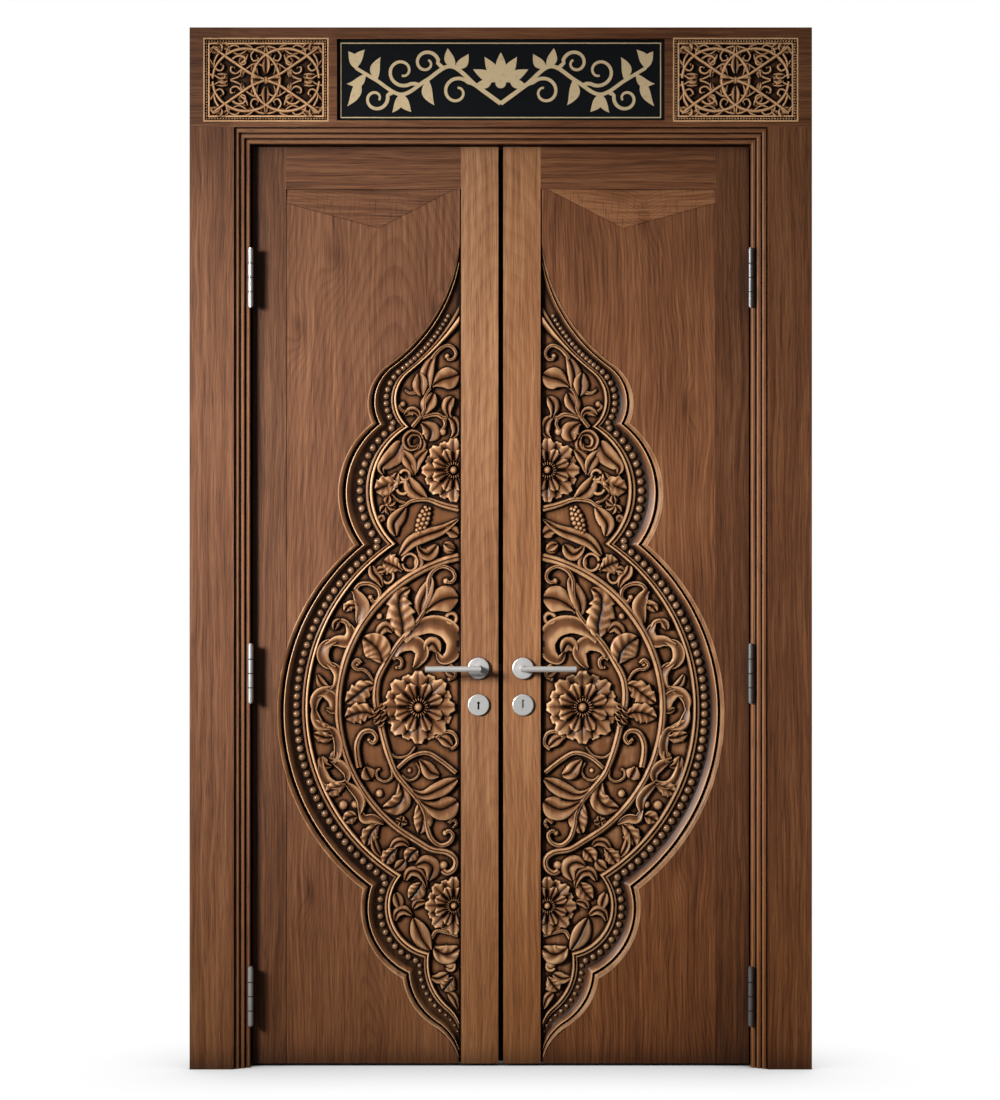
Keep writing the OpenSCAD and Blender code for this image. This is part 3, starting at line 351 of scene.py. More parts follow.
def walnut(name, along, colours, shift, arches=120.0, weights=BROAD, knots=(), slopes=(), bands=False):
    """Oiled walnut board with its grain along z or x."""
    finish = Finish(name)

    def body(way, turn):
        rings, streak, fibre, pores, cloud, eyes = board_grain(finish, way, turn, arches, knots)
        mix = (streak - 0.5) * weights[1] * 2.0 + (fibre - 0.5) * weights[2] * 1.4
        mix = mix + (cloud - 0.5) * weights[3] * 2.0 - rings * weights[0] + weights[0] * 0.4 + 0.5
        return (mix - eyes * 0.26 if knots else mix), fibre, pores
    mix, fibre, pores = body(along, shift)
    if slopes:
        mask, edge = facet_mask(finish, slopes)
        joint, arris, right = panel_joint(finish)
        other = body("x", shift + 5.0)[0]
        # The facets take a crosswise grain, a dark line at their edge, and painted light: a little darker on
        # the left leaf and lighter on the right, as light falls on their slope
        mix = mix + mask * (other - mix - 0.06) - (1.0 - edge.over(0.0006, 0.0022)) * 0.3
        mix = mix + mask * right * 0.45 + arris * 0.3
    # Painted highlight and shade along the moulded bands
    if bands:
        mix = mix + moulding_light_and_shade(finish)
    # Painted light and shade over the door, and how far the colour turns from the painted sheen of the cool
    # cast to the warm cast
    change, warmth = painted_light_falloff(finish)
    mix = (mix + change).within()
    woods = []
    for cast in (SHEEN_COOL, SHADE_WARM):
        stops = [[part * by for part, by in zip(colour, cast)] + [1.0] for colour in colours]
        woods.append(finish.ramp(mix, list(zip((0.05, 0.5, 0.95), stops))))
    black = scaled(colours[0], 0.18)
    # Painted shade: the wood darkens towards black in corners and recesses, less on the moulded bands
    corner_shade = (1.0 - finish.openness(5, 0.1)).over(0.12, 0.64) * (0.35 if bands else 0.9)
    wood = finish.blend(corner_shade, finish.blend(warmth, *woods), black)
    if slopes:
        wood = finish.blend(joint * 0.92, wood, black)
    specks = (pores.over(0.58, 0.72) * 0.5).within()
    return finish.surface({"Base Color": finish.blend(specks, wood, scaled(colours[0], 0.6)),
                           "Roughness": (fibre - 0.5) * 0.14 + 0.47 + specks * 0.15,
                           "Normal": finish.bump(fibre * 0.6 - specks, 0.2, 0.0006),
                           "Specular IOR Level": 0.25})


def carved_wood(name, colours, gloss=0.36, bright=0.55, shine=0.14):
    """Carved walnut: dark stain and painted shade in the deeps, rubbed edges and painted highlights on the
    crests, from each piece's own tone.
    """
    finish = Finish(name)
    x, y, z = finish.axes()
    tone = finish.attribute("tone")
    streak = finish.stretched(x * 60.0, y * 60.0, z * 4.0, 3.0, 0.6)
    patch = finish.noise(26.0)
    shade = tone * 0.5 + bright + (streak - 0.5) * 0.34 + (patch - 0.5) * 0.22
    # Painted shade in crevices and undercuts, and painted light that lifts the carving towards the right and
    # the foot
    shade = shade - (1.0 - finish.openness(6, 0.016)) * 0.85 + x * 0.09 + (1.0 - z.over(0.1, 0.6)) * 0.09
    dark, mid, light = colours
    low = [a * 0.45 + b * 0.55 for a, b in zip(mid, dark)]
    wood = finish.ramp(shade.within(), [(0.04, dark), (0.28, low), (0.52, mid), (0.9, light)])
    return finish.surface({"Base Color": wood, "Roughness": gloss + (streak - 0.5) * 0.14 - tone * 0.05,
                           "Normal": finish.bump(streak + patch, 0.12, 0.0008),
                           "Specular IOR Level": shine})


def knuckle_gaps(finish, joints):
    """1 in the thin gaps between the knuckles of the hinges."""
    x, y, z = finish.axes()
    side = abs(x) - PIN[0]
    front = y - PIN[1]
    gaps = 0.0
    for joint in joints:
        gaps = 1.0 - abs(z - joint).over(0.0008, 0.0017) + gaps
    return gaps * (1.0 - (side * side + front * front).over(0.0072 ** 2, 0.0078 ** 2))


def keyhole_mask(finish, place):
    """1 over a keyhole: a round eye with a slot under it."""
    x, _, z = finish.axes()
    across = abs(x - place[0])
    up = z - place[1]
    slot = (1.0 - across.over(0.0012, 0.0022)) * up.over(-0.0125, -0.0115) * (1.0 - up.over(0.004, 0.005))
    rise = up - 0.006
    return slot.most(1.0 - (across * across + rise * rise).over(0.0022 ** 2, 0.0032 ** 2))


def satin_steel(name, colour, along="x", joints=(), keyhole=()):
    """Brushed stainless steel with fine lines and faint cloud in its gloss."""
    finish = Finish(name)
    x, y, z = finish.axes()
    a, b = (x, z) if along == "x" else (z, x)
    lines = finish.stretched(a * 12.0, y * 900.0, b * 900.0)
    cloud = finish.noise(30.0)
    shade = finish.blend((lines * 0.6 + cloud * 0.4).within(), scaled(colour, 0.86), colour)
    if joints:
        shade = finish.blend(knuckle_gaps(finish, joints), shade, (0.004, 0.004, 0.004, 1.0))
    # Painted shade in the shallow engraved keyhole of the blind plates
    if keyhole:
        shade = finish.blend(keyhole_mask(finish, keyhole) * 0.85, shade, (0.01, 0.009, 0.009, 1.0))
    return finish.surface({"Base Color": shade, "Metallic": 0.5,
                           "Roughness": (lines - 0.5) * 0.18 + (cloud - 0.5) * 0.1 + 0.34,
                           "Normal": finish.bump(lines, 0.05, 0.0003)})


def gilt_leaf(name, colour):
    """Matt gilding with thin worn places."""
    finish = Finish(name)
    wear = finish.noise(90.0, 4.0, 0.6)
    worn = (wear.over(0.52, 0.72) * 0.5 + (finish.noise(14.0) - 0.5) * 0.4).within()
    return finish.surface({"Base Color": finish.blend(worn, colour, scaled(colour, 0.62)),
                           "Roughness": (wear - 0.5) * 0.25 + 0.45, "Metallic": 0.25,
                           "Normal": finish.bump(wear, 0.15, 0.0004)})


def dark_lacquer(name, colour):
    """Blue-black lacquer with brush marks along the panel."""
    finish = Finish(name)
    x, y, z = finish.axes()
    marks = finish.stretched(x * 6.0, y * 60.0, z * 240.0, 3.0)
    light = tuple(part * 1.8 + 0.001 for part in colour[:3]) + (1.0,)
    shade = finish.blend((marks * 0.5 + finish.noise(9.0) * 0.5 - 0.2).within(), colour, light)
    return finish.surface({"Base Color": shade, "Roughness": (marks - 0.5) * 0.2 + 0.42,
                           "Normal": finish.bump(marks, 0.06, 0.0004), "Specular IOR Level": 0.18})


def brush_pile(name):
    """Dense dark fibre of the draught brush."""
    finish = Finish(name)
    x, y, z = finish.axes()
    hair = finish.stretched(x * 40.0, y * 40.0, z * 1400.0)
    shade = finish.blend(hair, (0.004, 0.004, 0.004, 1.0), (0.02, 0.02, 0.02, 1.0))
    return finish.surface({"Base Color": shade, "Roughness": hair * 0.2 + 0.75,
                           "Normal": finish.bump(hair, 0.5, 0.001)})


# Lines through given points
def smooth_line(points, count):
    """Even points on a smooth line through a few given ones."""
    knots = [Vector(p) for p in points]
    last = len(knots) - 1
    fine = []
    for i in range(last):
        a, b, c, d = knots[max(i - 1, 0)], knots[i], knots[i + 1], knots[min(i + 2, last)]
        for k in range(10):
            t = k / 10
            fine.append(0.5 * (2 * b + (c - a) * t + (2 * a - 5 * b + 4 * c - d) * t * t
                               + (3 * b - a - 3 * c + d) * t * t * t))
    fine.append(knots[last])
    far = [0.0]
    for a, b in zip(fine, fine[1:]):
        far.append(far[-1] + (b - a).length)
    line = []
    k = 0
    for i in range(count + 1):
        want = far[-1] * i / count
        while k < len(far) - 2 and far[k + 1] < want:
            k += 1
        part = (want - far[k]) / max(far[k + 1] - far[k], 1e-9)
        line.append(fine[k].lerp(fine[k + 1], min(max(part, 0.0), 1.0)))
    return line


def line_length(points):
    return sum((Vector(b) - Vector(a)).length for a, b in zip(points, points[1:]))


def pointing(turn):
    """The direction at an angle in radians."""
    return Vector((math.cos(turn), math.sin(turn)))


def side_of(line, i):
    """The direction to the left of a line at one of its points."""
    step = line[min(i + 1, len(line) - 1)] - line[max(i - 1, 0)]
    step = step.normalized() if step.length > 1e-9 else Vector((1.0, 0.0))
    return Vector((-step.y, step.x))


# Sections of stems and leaves: share of the half width, height, tone; the tone is painted highlight on the
# crests and rolled edges and painted shade in the creases and at the foot
def whole(half, lift, tone):
    """A section from one half, given from the edge inwards, and its middle."""
    return [(-across, *rest) for across, *rest in half] + [(0.0, lift, tone)] + half[::-1]


LEAF = whole([(1.0, 0.0, -1.0), (1.0, 0.45, -0.6), (0.93, 0.7, 0.5), (0.78, 0.88, 0.22), (0.52, 0.95, 0.1),
              (0.27, 0.84, -0.1), (0.09, 0.62, -0.4)], 0.48, -1.2)
RIBBED_STEM = whole([(1, 0.0, -1.0), (1, 0.42, -0.5), (0.85, 0.72, 0.3), (0.5, 0.95, 0.35), (0.2, 0.98, 0.1)],
                    0.86, -0.6)
PLAIN_STEM = whole([(1, 0.0, -1.0), (1, 0.4, -0.5), (0.8, 0.75, 0.1), (0.4, 0.96, 0.3)], 1.0, 0.4)
RIBBON = [(-1.0, 0.0, -1.0), (-1.0, 0.5, -0.5), (-0.92, 0.86, 0.5), (-0.66, 1.0, 0.35), (-0.3, 0.92, 0.05),
          (0.1, 0.68, -0.35), (0.5, 0.58, -0.4), (0.8, 0.74, 0.25), (0.95, 0.7, 0.5), (1.0, 0.4, -0.5),
          (1.0, 0.0, -1.0)]
COROLLA = [(1.0, 0.0, -1.0), (1.0, 0.72, 0.3), (0.94, 0.94, 0.6), (0.84, 1.0, 0.1), (0.66, 0.96, -0.05),
           (0.42, 0.84, -0.15), (0.18, 0.66, -0.4), (0.0, 0.45, -0.8)]

# How far forms reach into the ground under them, in millimetres
SINK = 0.4

# Edges that bend more than this stay sharp
SHARP = math.radians(42)

# Width of the strip of painted shade along the carving's straight side, beside the meeting stile, in metres,
# and its tone, the painted shade of the deeps
EDGE_SHADE = 0.0022
STRIP_SHADE_TONE = -1.8

# Frame of the lintel carvings, in millimetres: its width, the middle of its bead row, and one bead
STRAP_FRAME = 16.0
STRAP_BEAD_ROW = 7.5
STRAP_BEAD = {"radius": 3.7, "low": 9.6, "height": 6.0, "around": 8, "rings": 2}


def linked(name, mesh, material):
    """A mesh as an object of the scene, with its material."""
    data = bpy.data.meshes.new(name)
    mesh.to_mesh(data)
    mesh.free()
    data.materials.append(material)
    made = bpy.data.objects.new(name, data)
    bpy.context.scene.collection.objects.link(made)
    return made


class Carver:
    """Adds carved forms to one mesh. Places are millimetres: across, up, and height of the relief."""

    def __init__(self, spot, low):
        self.mesh = bmesh.new()
        # Each point's tone: painted highlight where high and painted shade where low, read by the carved
        # materials
        self.tone = self.mesh.verts.layers.float.new("tone")
        self.spot = spot
        self.low = low
        self.turn = (1, 1)

    def sheet(self, rows, cols, form):
        """A grid whose points are moved to form(row, column): across, up, height, tone."""
        grid = bmesh.ops.create_grid(self.mesh, x_segments=rows, y_segments=cols, size=1.0)["verts"]
        for vert in grid:
            i = round((vert.co.x + 1) * rows / 2)
            j = round((vert.co.y + 1) * cols / 2)
            across, up, height, tone = form(i, j)
            vert.co = self.spot(self.turn[0] * across, self.turn[1] * up, height)
            vert[self.tone] = tone
        if self.turn[0] * self.turn[1] < 0:
            bmesh.ops.reverse_faces(self.mesh, faces=list({f for v in grid for f in v.link_faces}))

    def stem(self, points, wide, thin, height=15.0, step=5.0, ribs=True):
        """A rounded stem with two fine lines along it, thinning to its end."""
        rows = max(int(line_length(points) / step), 4)
        line = smooth_line(points, rows)
        bend = RIBBED_STEM if ribs else PLAIN_STEM
        deep = (height - self.low) * 1.2

        def form(i, j):
            part = i / rows
            half = (wide + (thin - wide) * part) * 1.35
            t, lift, tone = bend[j]
            spot = line[i] + side_of(line, i) * half * t
            # Painted shade where the stem's ends sink into the ground
            ends = 0.0 if i in (0, rows) else 1.0
            return spot.x, spot.y, self.low - SINK + (deep * lift + SINK) * ends, tone if ends else -0.8
        self.sheet(rows, len(bend) - 1, form)

    def curl(self, points, wide, thin, height=15.0, eye=0.0, ribs=True):
        """A stem that ends in the round eye of a scroll."""
        self.stem(points, wide, thin, height, 4.0, ribs)
        if eye:
            self.ball(points[-1], eye, height + 1.5)

    def leaf(self, points, width, widest=0.45, height=18.0, veins=0, teeth=0, root=0.2, roll=0.28,
             section=LEAF):
        """A leaf with a crease along its middle, swelling halves and rolled edges."""
        rows = max(int(line_length(points) / 4.0), 10, veins * 5, teeth * 5)
        line = smooth_line(points, rows)
        deep = (height - self.low) * 1.3
        power = math.log(0.5) / math.log(widest)
        last = len(section) - 1

        def form(i, j):
            part = i / rows
            across, lift, tone = section[j]
            bow = abs(across)
            swell = math.sin(math.pi * part ** power) ** 0.75 if 0 < part < 1 else 0.0
            half = width * 0.7 * max(root * (1 - part), swell)
            if teeth:
                half *= 1.0 - 0.3 * ((part * teeth) % 1.0) * min(1.0, 1.6 - part)
            half = max(half, 0.3)
            rise = 0.62 + 0.38 * math.sin(math.pi * (0.14 + 0.72 * part))
            lift = lift + roll * across * (1 if lift else 0)
            # Painted highlight along the vein ridges
            if veins and 0.05 < bow < 0.98:
                ridge = math.cos(2 * math.pi * (veins * part - 0.8 * bow))
                lift += 0.09 * ridge * math.sin(math.pi * bow)
                tone += 0.28 * ridge
            spot = line[i] + side_of(line, i) * half * across
            # Painted shade at the leaf's rim and ends, where it meets the ground
            ends = 0.0 if j in (0, last) or i in (0, rows) else 1.0
            tall = self.low - 0.5 + (deep * min(lift * rise, 1.1) + 0.5) * ends
            return spot.x, spot.y, tall, tone if ends else -1.0
        self.sheet(rows, last, form)

    def ribbon(self, points, width, flip=False, height=17.0):
        """A turning leaf without a crease, high along one edge and rolled at the other."""
        section = [(-a, lift, tone) for a, lift, tone in reversed(RIBBON)] if flip else RIBBON
        self.leaf(points, width, 0.5, height, root=0.5, roll=0.0, section=section)

    def bead(self, centre, radius, low, height, around=12, rings=4, top=0.3, fall=1.5, power=6):
        """A round bead on a floor of the given height, with a painted highlight on top and painted shade
        towards its foot.
        """
        def form(i, j):
            turn = 2 * math.pi * i / around
            lie = (1 - j / rings) * math.pi / 2
            reach = radius * math.sin(lie)
            rise = math.cos(lie)
            return (centre[0] + reach * math.cos(turn), centre[1] + reach * math.sin(turn),
                    low + height * rise, top - fall * (1 - rise) ** power)
        self.sheet(around, rings, form)

    def ball(self, centre, radius, height, around=12, rings=4):
        """A round boss that grows out of the ground, with a painted highlight on top and painted shade
        towards its foot.
        """
        low = self.low - SINK
        self.bead(centre, radius, low, height - low, around, rings, 0.35, 1.2, 3)

    def tuft(self, hub, turns, reaches, width, height):
        """Small leaves that spread from one point."""
        hub = Vector(hub)
        for turn in turns:
            way = pointing(math.radians(turn))
            self.leaf([hub] + [hub + way * far for far in reaches], width, 0.5, height)

    def ring(self, centre, radius, wide, height=14.0, stretch=1.0):
        """A thin ring."""
        count = 16
        points = []
        for k in range(count + 1):
            turn = math.radians(360.0 * k / count)
            up = radius * stretch * math.sin(turn)
            points.append((centre[0] + radius * math.cos(turn), centre[1] + up))
        self.stem(points, wide, wide, height, 4.0, False)

    def corolla(self, centre, radius, lobes, shift, near, point, frill, height):
        """A ring of joined petals: creased faces, deep folds between them and a pointed, ruffled edge."""
        each = 16

        def form(i, j):
            turn = 2 * math.pi * (i / each + shift) / lobes
            away = abs((i / each + 0.5) % 1.0 - 0.5) * 2
            part, lift, tone = COROLLA[j]
            edge = 1.0 - point * away ** 1.15 + frill * math.sin(2 * math.pi * away) ** 2
            reach = radius * (near + (edge - near) * part)
            fold = math.sin(math.pi * min(0.22 + away * 0.78, 0.96))
            # Painted shade in the folds between the petals, darkest at the cleft
            tone += 0.6 * (fold - 0.8) - (0.6 if away > 0.86 else 0.0)
            tall = self.low - SINK + (height - self.low) * (lift * (0.3 + 0.7 * fold) if lift else 0.0)
            return centre[0] + reach * math.cos(turn), centre[1] + reach * math.sin(turn), tall, tone
        self.sheet(lobes * each, len(COROLLA) - 1, form)

    def rosette(self, centre, radius):
        """An open flower: ruffled outer petals, grooved inner petals, stamens and a round heart."""
        middle = Vector(centre)
        self.corolla(centre, radius, 8, 0.5, 0.5, 0.26, 0.06, 13.0)
        self.corolla(centre, radius * 1.06, 8, 0.0, 0.4, 0.24, 0.06, 20.0)
        self.corolla(centre, radius * 0.74, 8, 0.5, 0.3, 0.18, 0.05, 23.5)
        for k in range(20):
            way = pointing(2 * math.pi * k / 20) * radius
            stamen = [middle + way * far for far in (0.15, 0.31)]
            self.stem(stamen, radius * 0.02, radius * 0.024, 19.0, 5.0, False)
            self.ball(stamen[1], radius * 0.036, 22.0, 6, 2)
        self.ball(centre, radius * 0.16, 24.0, 16, 5)

    def cone(self, low_end, top_end, radius):
        """A bud of overlapping scales."""
        a, b = Vector(low_end), Vector(top_end)
        way = (b - a).normalized()
        side = Vector((-way.y, way.x))
        for row in range(6):
            for k in (-1, 1, 0):
                swell = math.sin(math.pi * (0.22 + 0.12 * row))
                spot = a.lerp(b, 0.08 + 0.17 * row + (0.07 if k else 0.0)) + side * k * radius * 0.6 * swell
                self.ball(spot, radius * 0.5 * (0.5 + 0.5 * swell), 18.5 - abs(k) * 2.5, 8, 3)

    def finished(self, name, material, mirrored=False):
        """The mesh as an object, turned over for the other leaf where asked."""
        copy = self.mesh.copy()
        bmesh.ops.remove_doubles(copy, verts=copy.verts, dist=1e-6)
        if mirrored:
            bmesh.ops.scale(copy, verts=copy.verts, vec=(-1.0, 1.0, 1.0))
            bmesh.ops.reverse_faces(copy, faces=copy.faces)
        for face in copy.faces:
            face.smooth = True
        made = linked(name, copy, material)
        made.data.set_sharp_from_angle(angle=SHARP)
        return made


# Outline of the medallion: two chains of arcs, each with its centre and radius in millimetres
OUTER = [((112, 1607), 115), ((78, 1388), 221), ((-92, 855), 540), ((45, 385), 199), ((-16, 232), 159)]
INNER = [((68, 1617), 86), ((33, 1397), 178), ((-107, 870), 475), ((55, 389), 114), ((-63, 250), 139)]

# Beads along each arc: how many, first and last radius
BEADS = [(15, 5.0, 8.4), (9, 8.6, 8.6), (15, 9.6, 10.0), (45, 10.1, 10.1), (12, 9.2, 8.2), (8, 6.8, 5.8),
         (6, 4.8, 3.2)]
BEAD_CROSS = 0.61
BEAD_FLOOR = 7.6
# The first part of the tip's arc has no beads, and beads keep clear of the straight side and the leaf's foot
TIP_FREE = 0.3
SIDE_GAP, FOOT_GAP = 3.0, 6.5
# Radii of the arcs that end the two chains
OUTER_TIP, OUTER_FOOT = 423, 136
INNER_TIP, INNER_FOOT = 1356, 85


def tangent(lobe, radius, up):
    (x, z), r = lobe
    return Vector((radius, z + up * math.sqrt((radius + r) ** 2 - (radius - x) ** 2)))


def crossing(a, b):
    """Where two lobes cross, on the side away from the meeting stile."""
    first, second = Vector(a[0]), Vector(b[0])
    way = second - first
    far = way.length
    m = (a[1] ** 2 - b[1] ** 2 + far * far) / (2 * far)
    k = math.sqrt(a[1] ** 2 - m * m)
    way = way / far
    spots = [first + way * m + Vector((-way.y, way.x)) * k * s for s in (1, -1)]
    return max(spots, key=lambda p: p.x)


class Chain:
    """A line of seven arcs from the tip to the foot."""

    def __init__(self, lobes, tip, tip_r, foot, foot_r):
        def touch(lobe, other):
            centre = Vector(lobe[0])
            return centre + (other - centre).normalized() * lobe[1]
        top = tip.y if tip_r <= tip.x else tip.y - math.sqrt(tip_r ** 2 - tip.x ** 2)
        knots = [Vector((0, top)), touch(lobes[0], tip)]
        knots += [crossing(a, b) for a, b in zip(lobes, lobes[1:])]
        knots += [touch(lobes[4], foot), Vector((0, foot.y))]
        self.arcs = []
        for i in range(7):
            if i in (0, 6):
                centre, radius = (tip, tip_r) if i == 0 else (foot, foot_r)
                ends = [math.atan2(p.y - centre.y, p.x - centre.x) % (2 * math.pi) for p in knots[i:i + 2]]
            else:
                centre, radius = Vector(lobes[i - 1][0]), lobes[i - 1][1]
                ends = [math.atan2(p.y - centre.y, p.x - centre.x) for p in knots[i:i + 2]]
            self.arcs.append((centre, radius, ends))

    def at(self, i, part):
        centre, radius, (a, b) = self.arcs[i]
        turn = a + (b - a) * part
        return centre + pointing(turn) * radius


def inner_tip():
    centre, radius = INNER[0]
    return Vector(centre) + pointing(math.radians(50.7)) * (radius + INNER_TIP)


OUTER_CHAIN = Chain(OUTER, tangent(OUTER[0], OUTER_TIP, 1), OUTER_TIP,
                    tangent(OUTER[4], OUTER_FOOT, -1), OUTER_FOOT)
INNER_CHAIN = Chain(INNER, inner_tip(), INNER_TIP, tangent(INNER[4], INNER_FOOT, -1), INNER_FOOT)


def border_spot(i, part, cross):
    return OUTER_CHAIN.at(i, part).lerp(INNER_CHAIN.at(i, part), cross)


# Section of the border: share of its width, height, tone; the tone is painted highlight on the arrises and
# painted shade in the grooves and the channel
SECTION = [(0.0, 0.0, -0.9), (0.0, 18.5, -0.3), (0.012, 19.2, 0.35), (0.035, 19.2, 0.1),
           (0.075, 18.4, -0.1), (0.115, 16.6, 0.1), (0.136, 14.6, 0.6), (0.146, 12.5, -0.4),
           (0.152, 3.0, -1.8), (0.212, 3.0, -1.8), (0.217, 13.0, -0.9), (0.224, 16.4, 1.3),
           (0.24, 16.8, 1.3), (0.252, 16.0, 0.0), (0.31, 13.6, -0.3), (0.36, 10.4, -0.5),
           (0.4, 8.2, -0.9), (0.58, 7.8, -0.55), (0.755, 8.2, -0.9), (0.768, 11.4, -0.4),
           (0.785, 12.4, 0.3), (0.835, 12.4, 0.0), (0.85, 11.0, -0.6), (0.866, 8.0, -1.5),
           (0.876, 13.0, -0.3), (0.888, 16.6, 0.9), (0.91, 17.6, 0.9), (0.94, 17.4, 0.2),
           (0.968, 15.4, -0.2), (0.985, 11.0, -0.9), (0.995, 5.5, -1.5)]


def carve_border(carver):
    """The moulded border swept along the outline."""
    steps = (60, 26, 44, 120, 40, 26, 20)
    stations = [(i, k / n) for i, n in enumerate(steps) for k in range(n)] + [(6, 1.0)]
    # The section runs away from the hinges, so the sheet is laid from foot to tip
    stations.reverse()

    def form(i, j):
        cross, height, tone = SECTION[j]
        spot = border_spot(*stations[i], cross)
        return spot.x, spot.y, height, tone
    carver.sheet(len(stations) - 1, len(SECTION) - 1, form)


def carve_ground(carver, edge):
    """The flat ground behind the foliage, with painted shadow round each form."""
    near = KDTree(len(carver.mesh.verts))
    for k, vert in enumerate(carver.mesh.verts):
        near.insert((vert.co.x, 0.0, vert.co.z), k)
    near.balance()
    shade_reach = 7.0
    rim = [border_spot(i, k / 40, 0.99) for i in range(7) for k in range(41)]
    rows, cols = 330, 46
    top, foot = rim[0].y, rim[-1].y

    def width(up):
        best = edge
        for a, b in zip(rim, rim[1:]):
            if b.y <= up <= a.y and a.y > b.y:
                best = max(best, a.x + (b.x - a.x) * (a.y - up) / (a.y - b.y))
        return best
    widths = [width(foot + (top - foot) * i / rows) for i in range(rows + 1)]

    def form(i, j):
        up = foot + (top - foot) * i / rows
        across = edge + (widths[i] - edge) * (1 - j / cols)
        spot = carver.spot(across, up, carver.low)
        away = near.find((spot.x, 0.0, spot.z))[2] * 1000
        # Painted shadow darkens the ground within reach of each form
        return across, up, carver.low, -0.12 - 0.9 * max(0.0, 1 - away / shade_reach) ** 1.3
    carver.sheet(rows, cols, form)


